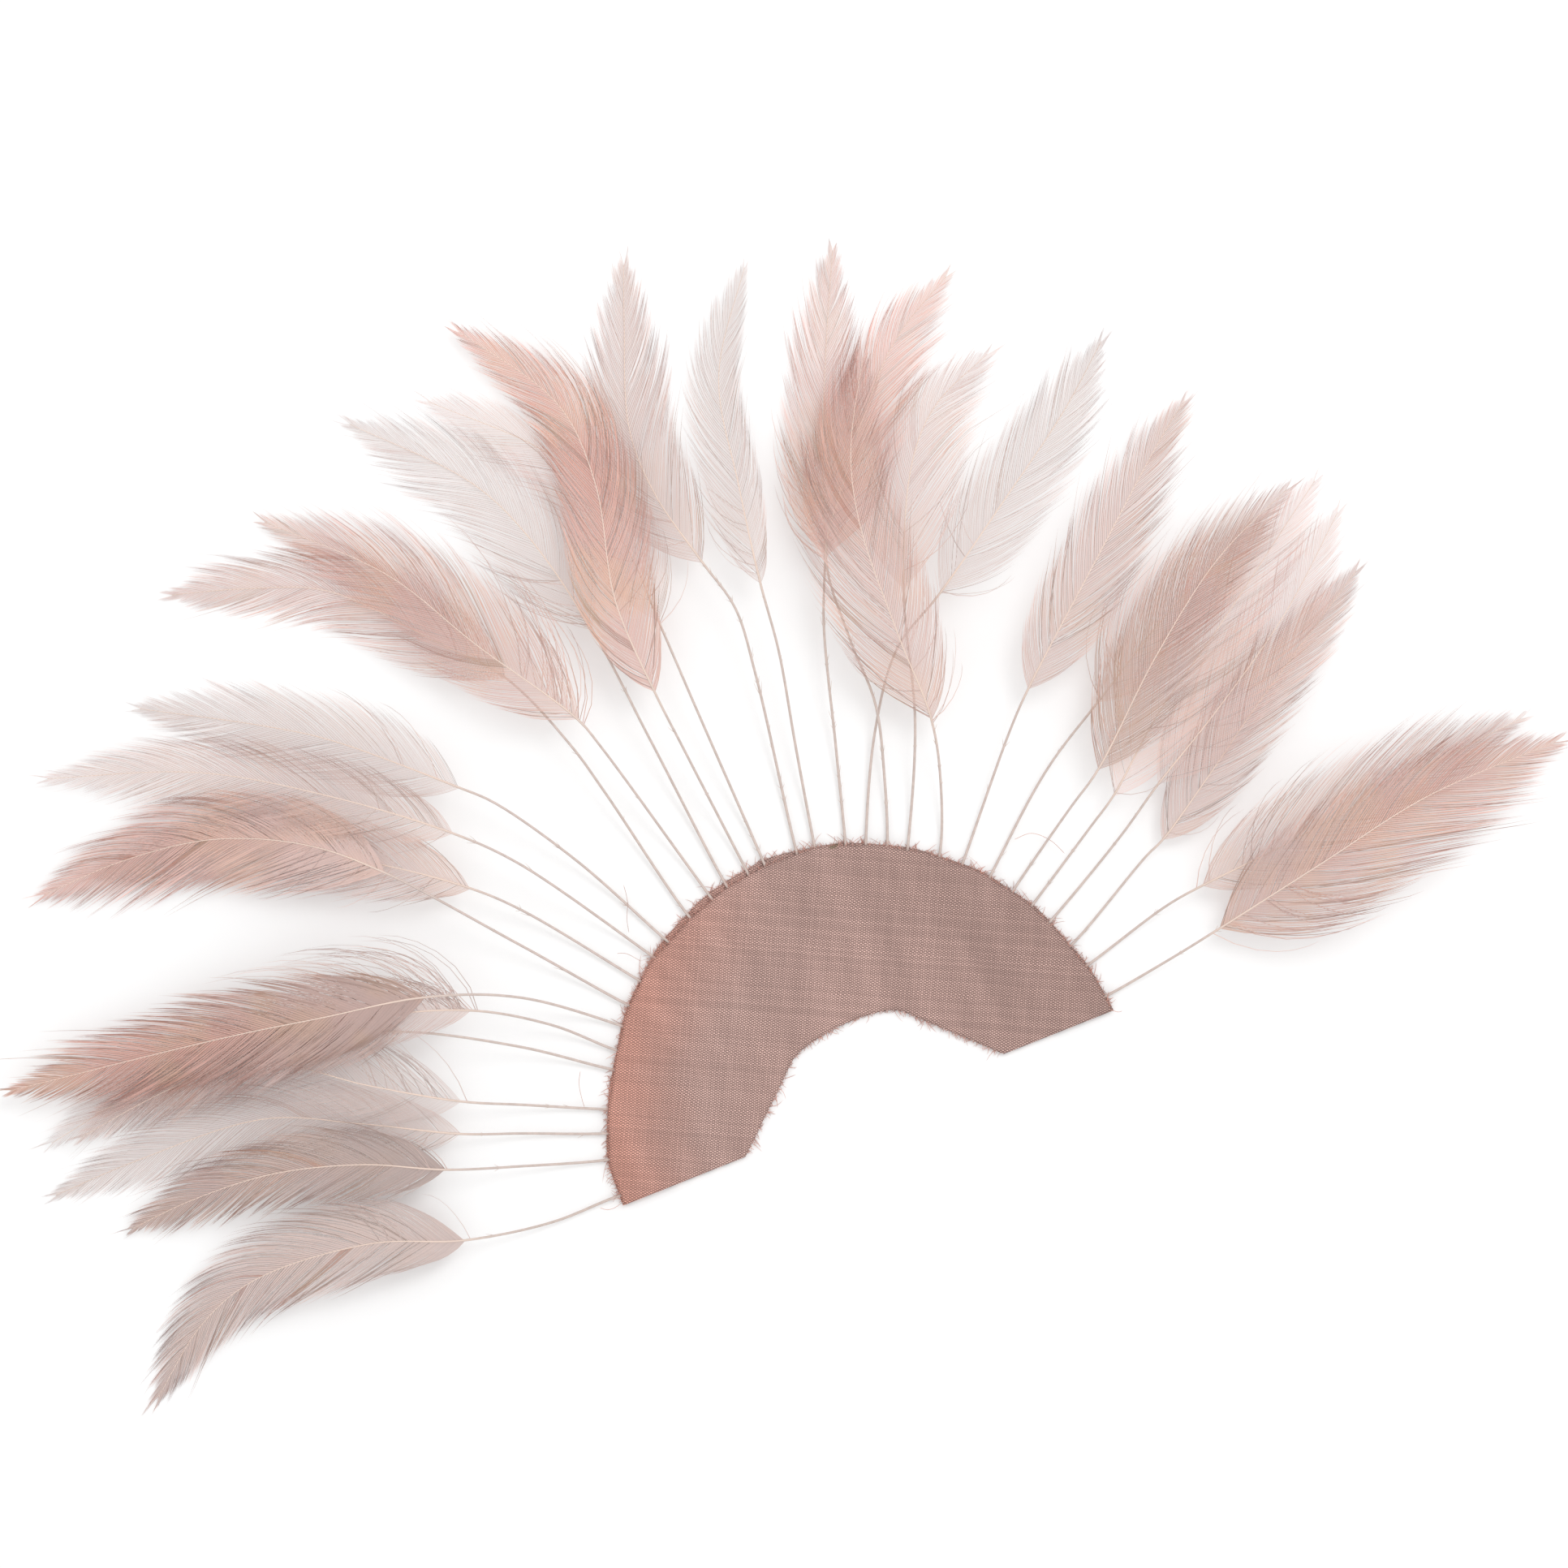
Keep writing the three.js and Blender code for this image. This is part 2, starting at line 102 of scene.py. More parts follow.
# The feathers, from the left end of the fan to the right
FEATHERS = [
    Feather(stem=[(-50.5, -31), (-62.5, -31), (-78.5, -28)],
            vane=[(-95, -22), (-117.5, -20.5), (-129.5, -24.5), (-144, -35.5)],
            web=(6.5, 8.5), layer=0, tone=0.12, cover=0.85, deep=0.2, wisps=(0, 8), curl=(0.85, 0.6),
            ragged=(0.3, 1.0)),
    Feather(stem=[(-49, -24), (-64.5, -19), (-77, -14.5)],
            vane=[(-90.5, -8), (-106.5, -3.5), (-122.5, -2.5), (-137, -3.5)],
            web=(6.5, 6.5), layer=1, tone=0.28, cover=0.95, deep=0.9, wisps=(6, 4), curl=(0.5, 0.75),
            ragged=(1.2, 0.9)),
    Feather(stem=[(-47, -19.5), (-62, -13.5), (-72, -9.5)],
            vane=[(-88, -1), (-104.5, 6.5), (-130.5, 8), (-148.5, 7.5)],
            web=(7, 7), layer=0, tone=0.1, cover=0.39, wisps=(2, 2), curl=(0.5, 0.7), ragged=(0.8, 0.8)),
    Feather(stem=[(-45, -15.5), (-60, -8.5), (-69.5, -4)],
            vane=[(-84, 5), (-100.5, 16), (-123.5, 19.5), (-145.5, 16.5)],
            web=(8, 9), layer=1, tone=0.08, cover=0.32, wisps=(0, 16), stubs=3, curl=(0.5, 0.7),
            ragged=(0.8, 0.8)),
    Feather(stem=[(-41.5, -9), (-56, 1.5), (-74.5, 12)],
            vane=[(-89, 16.5), (-107, 19.5), (-135, 19)],
            web=(6.5, 5), layer=2, tone=0.3, cover=0.52, stubs=1),
    Feather(stem=[(-39.5, -6), (-49, 3), (-61.5, 11)],
            vane=[(-80.5, 17), (-99.5, 18.5), (-120.5, 18), (-140, 15.5)],
            web=(6.5, 8), layer=3, tone=0.2, cover=0.49, wisps=(0, 40), sweep=2.0, stubs=1),
    Feather(stem=[(-36.5, -2.5), (-52.5, 10), (-68.5, 16.5)],
            vane=[(-87.5, 20), (-104.5, 23), (-148.5, 29)],
            web=(8, 8.5), layer=4, tone=0.7, cover=0.96, deep=0.75, stubs=1, ragged=(0.9, 1.1)),
    Feather(stem=[(-34, 0.5), (-49, 19), (-67, 40.5)],
            vane=[(-78.5, 50.5), (-94.5, 58), (-111.5, 60.5), (-129.5, 60)],
            web=(9.5, 8), layer=1, tone=0.45, cover=0.74, deep=-0.1, wisps=(6, 0), curl=(0.6, 0.8),
            ragged=(1.1, 1.0)),
    Feather(stem=[(-30.5, 4), (-46.5, 25), (-53.5, 32)],
            vane=[(-68.5, 43), (-90, 54.5), (-120, 60.5)],
            web=(7, 7), layer=0, tone=0.3, cover=0.49, wisps=(3, 0), curl=(0.5, 0.8), ragged=(0.6, 0.6)),
    Feather(stem=[(-26.5, 7), (-43.5, 33), (-52.5, 42.5)],
            vane=[(-71.5, 57.5), (-92.5, 70.5), (-121, 80.5)],
            web=(7, 7), layer=2, tone=0.3, cover=0.38, wisps=(2, 2), stubs=3, curl=(0.5, 0.7),
            ragged=(0.8, 0.8)),
    Feather(stem=[(-23.5, 9.5), (-33.5, 29.5), (-43.5, 45), (-48.5, 50)],
            vane=[(-67.5, 67), (-78, 74), (-100, 86.5)],
            web=(7, 8), layer=0, tone=0.15, cover=0.33, wisps=(0, 3), stubs=3, curl=(0.7, 0.4),
            ragged=(0.8, 0.8)),
    Feather(stem=[(-18, 12), (-24, 39.5), (-26.5, 49.5), (-33, 65.5)],
            vane=[(-42.5, 76.5), (-58, 93), (-72, 99), (-87, 103.5)],
            web=(7, 8.5), layer=0, tone=0.45, cover=0.4, wisps=(0, 4), stubs=3, streaks=0.5),
    Feather(stem=[(-13, 14), (-21.5, 47.5), (-23.5, 53.5)],
            vane=[(-36, 73.5), (-46.5, 91.5), (-65.5, 110.5)],
            web=(8, 10), layer=1, tone=0.55, cover=0.47, wisps=(0, 24), sweep=1.6, stubs=3, streaks=0.5),
    Feather(stem=[(-9.5, 15), (-12.5, 44.5), (-15, 68)],
            vane=[(-20, 89.5), (-26, 102), (-44, 121.5)],
            web=(9, 9), layer=0, tone=0.15, cover=0.27, wisps=(8, 0)),
    Feather(stem=[(-5, 16), (-7.5, 42), (-8.5, 53)],
            vane=[(-9, 71.5), (-4.5, 93), (-5.5, 109), (-19, 130.5)],
            web=(7, 8), layer=2, tone=0.75, cover=0.63, wisps=(0, 2), stubs=3, curl=(0.75, 0.7),
            streaks=0.4, ragged=(0.8, 0.8)),
    Feather(stem=[(-1.5, 16.5), (-2.5, 46.5), (-3, 65)],
            vane=[(-3.5, 79.5), (-9, 99), (-29, 120)],
            web=(7.5, 7.5), layer=1, tone=0.35, cover=0.24, deep=-0.3, wisps=(2, 4), stubs=8,
            curl=(0.7, 0.5), streaks=0.5, ragged=(0.7, 1.0)),
    Feather(stem=[(5, 17), (10, 49.5), (11, 62), (8.5, 72)],
            vane=[(5, 87), (5, 100), (11.5, 119), (16, 130.5)],
            web=(8, 8), layer=0, tone=0.28, cover=0.4, wisps=(3, 0), stubs=24, curl=(0.45, 0.75),
            ragged=(1.0, 0.7)),
    Feather(stem=[(8.5, 16.5), (12, 34.5), (15.5, 51.5), (17, 64.5)],
            vane=[(20, 83), (24, 103), (37, 121.5)],
            web=(6.5, 4), layer=1, tone=0.12, cover=0.36, wisps=(8, 0), stubs=4, curl=(0.5, 0.85),
            ragged=(1.0, 0.4)),
    Feather(stem=[(14, 14.5), (19, 32), (25, 53), (30, 65)],
            vane=[(36.5, 82.5), (46, 104), (53, 118.5)],
            web=(7.5, 6.5), layer=0, tone=0.55, cover=0.37, deep=-0.15, wisps=(16, 0), stubs=26),
    Feather(stem=[(17.5, 13), (27, 32), (36, 44), (47, 50.5)],
            vane=[(65, 62.5), (81, 73.5), (93.5, 84)],
            web=(8, 8), layer=0, tone=0.1, cover=0.32, wisps=(2, 2), stubs=3),
    Feather(stem=[(21, 11), (25, 22.5), (28.5, 36), (28.5, 48.5), (30, 64.5)],
            vane=[(38, 76), (56, 96.5), (71.5, 105.5)],
            web=(8, 8), layer=1, tone=0.75, cover=0.41, deep=-0.35, wisps=(2, 0), stubs=10, streaks=0.5),
    Feather(stem=[(24.5, 9.5), (34, 30), (41, 53.5)],
            vane=[(51, 74.5), (59, 83), (73, 89)],
            web=(8, 9), layer=2, tone=0.35, cover=0.33, deep=-0.2, wisps=(0, 2), stubs=3, curl=(0.4, 0.8),
            streaks=0.4, ragged=(0.9, 0.5)),
    Feather(stem=[(29.5, 6), (34.5, 18.5), (37, 29.5)],
            vane=[(37, 46), (38, 68), (41.5, 81), (51, 98)],
            web=(10.5, 8.5), layer=3, tone=0.4, cover=0.57, wisps=(2, 6), stubs=9),
    Feather(stem=[(33, 3), (50, 22.5), (55.5, 28)],
            vane=[(76.5, 46), (97.5, 63.5), (104, 68)],
            web=(7, 7.5), layer=1, tone=0.32, cover=0.53, deep=0.1, stubs=3),
    Feather(stem=[(36.5, -1.5), (53.5, 13), (66.5, 21)],
            vane=[(87.5, 33), (108.5, 41)],
            web=(9.5, 7.5), layer=0, tone=0.4, cover=0.33, deep=-0.3, wisps=(4, 0), stubs=4),
    Feather(stem=[(39.5, -5.5), (55, 5), (62, 9.5)],
            vane=[(79.5, 25), (97, 37.5), (115.5, 45.5)],
            web=(8, 8), layer=3, tone=0.5, cover=0.49, deep=0.65, wisps=(3, 0), stubs=3, streaks=0.7),
    Feather(stem=[(41.5, -9.5), (57.5, 0.5), (63, 4)],
            vane=[(76, 15), (92, 25.5), (121, 45.5)],
            web=(8, 8), layer=2, tone=0.4, cover=0.28, deep=-0.8, wisps=(0, 2), streaks=0.5),
    Feather(stem=[(43.5, -13.5), (61.5, -3.5), (71.5, 3)],
            vane=[(87, 12), (105.5, 24), (122.5, 38.5)],
            web=(7.5, 7.5), layer=1, tone=0.45, cover=0.26, deep=-0.3, wisps=(0, 2)),
    Feather(stem=[(45.5, -19), (65, -8.5), (68.5, -7)],
            vane=[(81.5, 1.5), (92.5, 9), (122, 27)],
            web=(7, 6.5), layer=0, tone=0.25, cover=0.55, wisps=(0, 4)),
    Feather(stem=[(47, -23.5), (65, -18.5), (72, -17.5)],
            vane=[(89, -16), (112.5, -13), (140.5, -10.5)],
            web=(9, 6.5), layer=1, tone=0.3, cover=0.47, wisps=(12, 0)),
    Feather(stem=[(48.5, -30), (61.5, -28), (72, -26)],
            vane=[(94.5, -21.5), (116.5, -17.5), (145, -17)],
            web=(9, 11.5), layer=2, tone=0.6, cover=0.69, deep=0.35, wisps=(0, 14)),
]

# The cloths' hand-cut outer edge: degrees round from the right end, and the radius there in millimetres
CUT_ANGLES = (0, 17, 56, 93, 117, 150, 171, 180)
CUT_RADII = (48.6, 47.8, 48.4, 49.8, 49.2, 48.0, 49.5, 49.2)

# A dried patch of glue on the front cloth's outer edge, in metres
GLUE_PLACE = (11.7 * MM, 14.4 * MM, 0)
GLUE_LENGTH = 2.2 * MM
GLUE_WIDTH = 0.8 * MM

# Stray hairs and threads, in millimetres: the points each one lies through
STRAY_THREADS = [
    [(-27.1, 22.2), (-27.6, 19), (-28.9, 16), (-29.5, 13.5)],
    [(-33, 10.8), (-31.5, 10.2), (-30, 8.6), (-29.4, 7.8)],
    [(-47.3, -6.9), (-48.4, -9), (-48.9, -11.5), (-49.1, -13.5)],
    [(43.1, 3.2), (46.5, 3.1), (49.3, 0.6), (50.9, -2.7)],
    [(-53.3, -31.8), (-52.2, -32.6), (-50.8, -32.8), (-49.2, -32.4)],
    [(48, -32.6), (48.7, -33.2), (49.3, -33.6), (50, -33.7)],
]


def srgb(red, green, blue):
    """A colour as a picture gives it, from 0 to 255, as Blender's linear colour."""
    values = np.array([red, green, blue]) / 255
    linear = np.where(values <= 0.04045, values / 12.92, ((values + 0.055) / 1.055) ** 2.4)
    return tuple(float(value) for value in linear)


def smoothstep(value, low, high):
    share = np.clip((value - low) / (high - low), 0, 1)
    return share * share * (3 - 2 * share)


def colour_property(name, description, red, green, blue):
    return FloatVectorProperty(
        name=name, description=description, subtype="COLOR", default=srgb(red, green, blue))


class ClothSettings(bpy.types.PropertyGroup):
    """Sizes and colours of the two cloths"""
    thread_width: FloatProperty(
        name="Thread width", description="Distance between two threads along the straight cut",
        default=0.386 * MM, unit="LENGTH")
    thread_pitch: FloatProperty(
        name="Thread pitch", description="Distance between two threads across the straight cut",
        default=0.245 * MM, unit="LENGTH")
    weave_turn: FloatProperty(
        name="Weave turn", description="How far the weave is turned from the straight cut",
        default=math.radians(26.3), subtype="ANGLE")
    rose: colour_property("Rose", "Colour of the threads", 192, 160, 151)
    # painted shade between and below the threads
    rose_shade: colour_property("Rose shade", "Colour between and below the threads", 118, 86, 79)
    coral: colour_property("Coral", "Colour of the threads along the left edge", 208, 148, 131)
    glue: colour_property("Glue", "Colour of the dried glue", 122, 108, 84)
    fray_count: IntProperty(
        name="Fray count", description="Loose fibres along the edges of each cloth", default=1600)


class FeatherSettings(bpy.types.PropertyGroup):
    """Sizes and colours of the feathers"""
    barb_spacing: FloatProperty(
        name="Barb spacing", description="Distance between two barbs along the shaft",
        default=0.26 * MM, unit="LENGTH")
    barb_depth: FloatProperty(
        name="Barb depth", description="Height of a barb's ridge", default=0.014 * MM, unit="LENGTH")
    film: colour_property("Film", "Colour of the palest barbs", 213, 200, 196)
    blush: colour_property("Blush", "Colour of the deepest barbs", 230, 174, 157)
    tan: colour_property("Tan", "Colour of the warm patches", 226, 194, 170)
    mauve: colour_property("Mauve", "Colour of pale barbs' ends", 184, 158, 154)
    rosy: colour_property("Rosy", "Colour of deep barbs' ends", 198, 140, 126)
    shaft: colour_property("Shaft", "Colour of the shafts in the vanes", 230, 208, 194)
    stem: colour_property("Stem", "Colour of the stripped stems", 206, 189, 181)


class StageSettings(bpy.types.PropertyGroup):
    """The camera and the light"""
    view_centre: FloatVectorProperty(
        name="View centre", description="The point of the fan in the middle of the view",
        default=(7.36 * MM, 28.5 * MM, 3 * MM), subtype="TRANSLATION", unit="LENGTH")
    view_width: FloatProperty(
        name="View width", description="Width of the view at its centre", default=289.8 * MM, unit="LENGTH")
    view_turn: FloatProperty(
        name="View turn", description="How far the view is turned about the vertical",
        default=math.radians(-21.7), subtype="ANGLE")
    camera_height: FloatProperty(
        name="Camera height", description="Height of the camera over the view's centre",
        default=1.2, unit="LENGTH")
    sky: FloatProperty(name="Sky", description="Brightness of the light from all round", default=1.0)
    lamp: FloatProperty(
        name="Lamp", description="Power of the large soft lamp at the upper right",
        default=2.8, unit="POWER")
    floor: colour_property("Floor", "Colour of the floor", 246, 246, 246)


class FanSettings(bpy.types.PropertyGroup):
    """Everything that can be changed on the fan"""
    cloth: PointerProperty(type=ClothSettings)
    feather: PointerProperty(type=FeatherSettings)
    stage: PointerProperty(type=StageSettings)


# Lines in plan

def smooth_line(points, steps=SPAN_STEPS):
    """A centripetal curve through the points, as the solids' shafts have it."""
    ends = np.vstack([2 * points[0] - points[1], points, 2 * points[-1] - points[-2]])
    share = np.linspace(0, 1, steps, endpoint=False)[:, None]
    spans = []
    for a, b, c, d in zip(ends, ends[1:], ends[2:], ends[3:]):
        before, here, after = (math.sqrt(np.linalg.norm(q - p)) for p, q in ((a, b), (b, c), (c, d)))
        leave = here * ((b - a) / before - (c - a) / (before + here) + (c - b) / here)
        arrive = here * ((c - b) / here - (d - b) / (here + after) + (d - c) / after)
        square = 3 * (c - b) - 2 * leave - arrive
        cube = 2 * (b - c) + leave + arrive
        spans.append(b + leave * share + square * share**2 + cube * share**3)
    return np.vstack([*spans, points[-1:]])


class Shaft:
    """A feather's shaft in plan, measured from the cut end of its quill."""

    def __init__(self, feather):
        stem, vane = (np.array(points) * MM for points in (feather.stem, feather.vane))
        inwards = PAD_CENTRE - stem[0]
        quill_end = stem[0] + inwards / np.linalg.norm(inwards) * QUILL_TUCK
        self.line = smooth_line(np.vstack([quill_end, stem, vane]))
        steps = np.linalg.norm(np.diff(self.line, axis=0), axis=1)
        self.lengths = np.concatenate([[0], np.cumsum(steps)])
        self.stem_length = self.lengths[len(stem) * SPAN_STEPS]
        self.full_length = self.lengths[-1]
        self.vane_length = self.full_length - self.stem_length
        self.slopes = np.gradient(self.line, self.lengths, axis=0)

    def along(self, distance):
        """The points at these distances and the unit directions to the left there."""
        inside = np.clip(distance, 0, self.full_length)
        point, ahead = (
            np.stack([np.interp(inside, self.lengths, values[:, axis]) for axis in (0, 1)], -1)
            for values in (self.line, self.slopes)
        )
        ahead /= np.linalg.norm(ahead, axis=-1, keepdims=True)
        left = np.stack([-ahead[..., 1], ahead[..., 0]], -1)
        return point + (distance - inside)[..., None] * ahead, left


def layer_height(plan, layer):
    """The height of a layer's middle over points of the plan."""
    reach = np.linalg.norm(plan - PAD_CENTRE, axis=-1)
    apart = smoothstep(reach, PAD_RADIUS, LAYER_REACH)
    along = np.clip((reach - ARCH_START) / (ARCH_END - ARCH_START), 0, 1)
    arch = ARCH_HEIGHT * np.sin(np.pi * along) ** 2
    return QUILL_HEIGHT + (LOW_HEIGHT + layer * LAYER_RISE - QUILL_HEIGHT) * apart + arch


def web_share(along):
    """A vane's half width at shares of its length, as a share of its widest."""
    base = np.sin(np.pi / 2 * np.clip(along / WIDEST_AT, 0, 1)) ** BASE_FULLNESS
    tip = 1 - np.clip((along - WIDEST_AT) / (1 - WIDEST_AT), 0, 1) ** TIP_FULLNESS
    return np.where(along < WIDEST_AT, base, np.maximum(tip, TIP_SHARE))


# Meshes of many strands

class Strands:
    """Gathers closed strands and tubes, and makes them one object."""

    def __init__(self, value_names):
        self.points = []
        self.faces = []
        self.slots = []
        self.rows = []
        self.values = {name: [] for name in value_names}
        self.point_count = 0
        self.row_count = 0

    def _keep(self, points, faces, rows, slot, values):
        self.faces.extend((faces_of + self.point_count).tolist() for faces_of in faces)
        self.slots.extend(np.full(len(faces_of), slot) for faces_of in faces)
        self.points.append(points)
        self.rows.append(rows + [0, self.row_count])
        self.point_count += len(points)
        for name, gathered in self.values.items():
            gathered.append(np.broadcast_to(values[name], len(points)))

    def add_strands(self, lines, share, widths, depths, slot, **values):
        """Strands along lines, an array of strands by places by three: flat below, with a ridge on top.
        share is how far along its strand each place is."""
        count, places = lines.shape[:2]
        rings = places - 2
        ahead = np.gradient(lines, axis=1)[:, 1:-1]
        side = np.stack([-ahead[..., 1], ahead[..., 0], np.zeros_like(ahead[..., 0])], -1)
        side /= np.maximum(np.linalg.norm(side, axis=-1, keepdims=True), 1e-12)
        middle = lines[:, 1:-1]
        half = side * widths[:, 1:-1, None] / 2
        ridge = middle + depths[:, 1:-1, None] * np.array([0, 0, 1])
        corners = np.stack([middle + half, ridge, middle - half], 2).reshape(count, rings * 3, 3)
        points = np.concatenate([lines[:, :1], corners, lines[:, -1:]], 1)
        per_strand = rings * 3 + 2
        around = np.arange(3)
        beside = (around + 1) % 3
        ring_starts = 1 + 3 * np.arange(rings - 1)[:, None]
        first, following = ring_starts + around, ring_starts + beside
        quads = np.stack([first, following, following + 3, first + 3], -1).reshape(-1, 4)
        last = 1 + 3 * (rings - 1)
        root_ends = np.stack([np.zeros(3, int), 1 + beside, 1 + around], -1)
        tip_ends = np.stack([last + around, last + beside, np.full(3, per_strand - 1)], -1)
        starts = (np.arange(count) * per_strand)[:, None, None]
        ends = np.vstack([root_ends, tip_ends])
        faces = [(starts + part).reshape(-1, part.shape[1]) for part in (quads, ends)]
        across = np.concatenate([[0.5], np.tile([0.1, 0.5, 0.9], rings), [0.5]])
        lengthwise = np.concatenate([share[:1], np.repeat(share[1:-1], 3), share[-1:]])
        upwards = np.arange(count)[:, None] + across
        rows = np.stack(np.broadcast_arrays(lengthwise, upwards), -1).reshape(-1, 2)
        spread = {
            name: np.repeat(value, per_strand) if np.ndim(value) else value
            for name, value in values.items()
        }
        spread["barb_place"] = np.tile(lengthwise, count)
        self._keep(points.reshape(-1, 3), faces, rows, slot, spread)
        self.row_count += count

    def add_tube(self, line, radii, sides, height_rows, slot, **values):
        """A round tube along a line of places by three, closed to a point at both ends."""
        ahead = np.gradient(line, axis=0)
        ahead /= np.linalg.norm(ahead, axis=1, keepdims=True)
        side = np.stack([-ahead[:, 1], ahead[:, 0], np.zeros(len(line))], -1)
        side /= np.linalg.norm(side, axis=1, keepdims=True)
        above = np.cross(ahead, side)
        turn = 2 * np.pi * np.arange(sides) / sides
        spokes = side[:, None] * np.cos(turn)[:, None] + above[:, None] * np.sin(turn)[:, None]
        rings = line[:, None] + spokes * radii[:, None, None]
        count = len(line)
        points = np.vstack([line[:1], rings.reshape(-1, 3), line[-1:]])
        around = np.arange(sides)
        beside = (around + 1) % sides
        first = 1 + sides * np.arange(count - 1)[:, None]
        near, far = first + around, first + beside
        quads = np.stack([near, far, far + sides, near + sides], -1)
        last = 1 + sides * (count - 1)
        root_end = np.stack([np.zeros(sides, int), 1 + beside, 1 + around], -1)
        tip_end = np.stack([last + around, last + beside, np.full(sides, last + sides)], -1)
        share = np.linspace(0, 1, count)
        lengthwise = np.concatenate([[0], np.repeat(share, sides), [1]])
        across = np.concatenate([[0.5], np.tile((around + 0.5) / sides, count), [0.5]]) * height_rows
        ring_of_point = np.concatenate([[0], np.repeat(np.arange(count), sides), [count - 1]])
        spread = {
            name: value[ring_of_point] if np.ndim(value) else value
            for name, value in values.items()
        }
        spread["barb_place"] = 0.0
        faces = [quads.reshape(-1, 4), np.vstack([root_end, tip_end])]
        self._keep(points, faces, np.stack([lengthwise, across], -1), slot, spread)
        self.row_count += height_rows

    def make(self, name, materials):
        """The object, with its vertices' values as attributes and a map with a row for each strand."""
        mesh = bpy.data.meshes.new(name)
        mesh.from_pydata(np.vstack(self.points), [], [face for part in self.faces for face in part])
        mesh.polygons.foreach_set("material_index", np.concatenate(self.slots).astype(np.int32))
        mesh.polygons.foreach_set("use_smooth", np.concatenate(self.slots) > 0)
        for name_of_value, gathered in self.values.items():
            attribute = mesh.attributes.new(name_of_value, "FLOAT", "POINT")
            attribute.data.foreach_set("value", np.concatenate(gathered).astype(np.float32))
        corner_points = np.zeros(len(mesh.loops), np.int32)
        mesh.loops.foreach_get("vertex_index", corner_points)
        rows = np.vstack(self.rows) / [1, self.row_count]
        layer = mesh.uv_layers.new(name=BAKE_MAP)
        layer.data.foreach_set("uv", rows[corner_points].astype(np.float32).ravel())
        for material in materials:
            mesh.materials.append(material)
        mesh.update()
        made = bpy.data.objects.new(name, mesh)
        bpy.context.scene.collection.objects.link(made)
        return made


# Feathers

# Barbs. Places along a barb or a vane are shares of its length.
BARB_PLACES = np.array([0, 0.015, 0.2, 0.4, 0.57, 0.72, 0.86, 1])
LAST_BARB = 0.97  # where the last barbs leave the shaft
BARB_SLIP = 0.08  # how far a barb's root strays, in barb spacings
BARB_ANGLE_PLACES = (0, 0.1, 0.3, 0.6, 0.85, 1)
BARB_ANGLES = (46, 38, 31, 27, 22, 15)  # degrees between barb and shaft, at those places along the vane
BARB_ANGLE_SPREAD = 0.5
BARB_REACHES = (1.08, 0.06)  # mean and spread of the barbs' reach, in shares of the way to the outline
BARB_LIFTS = (-0.15, 0.03)  # mean and spread of how high the barbs' ends stand, in millimetres
BARB_SWAY = 0.08 * MM
BARB_WIDTHS = (0.94, 1.06)
NARROWING_PLACES = (0, 0.015, 0.5, 0.7, 0.85, 1)
NARROWING = (0.9, 1, 0.95, 0.74, 0.4, 0.08)  # a barb's width at those places along it
END_DEPTH = 0.5  # depth of a barb's end, against its root
COVER_PLACES = (0, 0.3, 0.6, 1)
COVER_SHARES = (1.32, 1.12, 0.9, 0.84)  # how densely the barbs stand at those places along the vane
LOWEST_BARB = 0.08 * MM
OUTLINE_STEPS = 16

# Locks, which are barbs that cling together
LOCK_SIZES = (3, 20)  # fewest barbs and one more than most
LOCK_PULLS = (0.4, 0.9)  # how far their barbs close up at their ends
LOCK_SLIP = 0.7 * MM
LOCK_REACH = 0.055
LOCK_TAPER = 0.12  # share of their reach by which a lock's outer barbs fall short
LOCK_LIFT = 0.08 * MM
LOCKS_LOOSE = (0.04, 0.35)  # places along the vane where locks begin and where they are fully loose
TIGHT_SIZE = 9  # locks with no more barbs than this can cling tight
TIGHT_LIFT = 0.12 * MM
TIGHT_TINT = -0.35
TIGHT_TONE = 0.6  # how much pinker their barbs are

# Ribs, which are darker barbs that give the film its fine lines
RIB_EVERY = 3
RIBS_SHOW = (0.1, 0.5)  # places along the vane where ribs begin to show and where they show fully
RIB_LEAST = 0.12  # how much they show in the vane's base
RIB_SWELL = 0.8  # how much wider they are in a vane with few barbs
RIB_TINT = 0.97  # how much darker they are
MIDDLE_TINT = 0.47
TINT_SPREAD = 0.3

# Hairs, which are single barbs that stray over the others
HAIR_SHARE = 0.07
HAIR_REACHES = (1.0, 1.25)
HAIR_ANGLES = (0.75, 1.15)
HAIR_LIFT = 0.3 * MM
HAIR_WIDTH = 0.9
HAIR_TINT = -0.7
HAIR_TONE = 0.3  # how much pinker they are

# Wisps, which are long loose barbs at the vane's base
WISP_ROOTS = (-0.02, 0.22)
WISP_ANGLES = (48, 78)
WISP_REACHES = (0.7, 1)
WISP_SLIP = 2 * MM
WISP_LIFTS = (-0.1, 0.5)
WISP_CURL = 0.9
WISP_SWAY = 0.3 * MM
WISP_WIDTHS = (0.1, 0.18)
WISP_END = 0.3
WISP_PLACE = 0.4  # wisps are coloured as barbs are at this place along the vane
WISP_TONE = 0.6

# Stubs, which are the ends of stripped barbs on the stem
STUB_ANGLES = (15, 45)
STUB_REACHES = (0.3, 0.8)
STUB_CURL = 0.3
STUB_WIDTH = 0.12 * MM
STUB_END = 0.3

SHAFT_RINGS = 60
SHAFT_SIDES = 6
SHAFT_ROWS = 8  # rows of the bake map that a shaft takes
SHAFT_SHORT = 0.03  # share of the vane by which the shaft ends before its tip
SHAFT_THINS = 0.15  # share of the vane in which it thins
FEATHER_SEED = 700
FEATHER_VALUES = ("vane_place", "barb_place", "barb_tint", "lock_tint", "feather_tone")


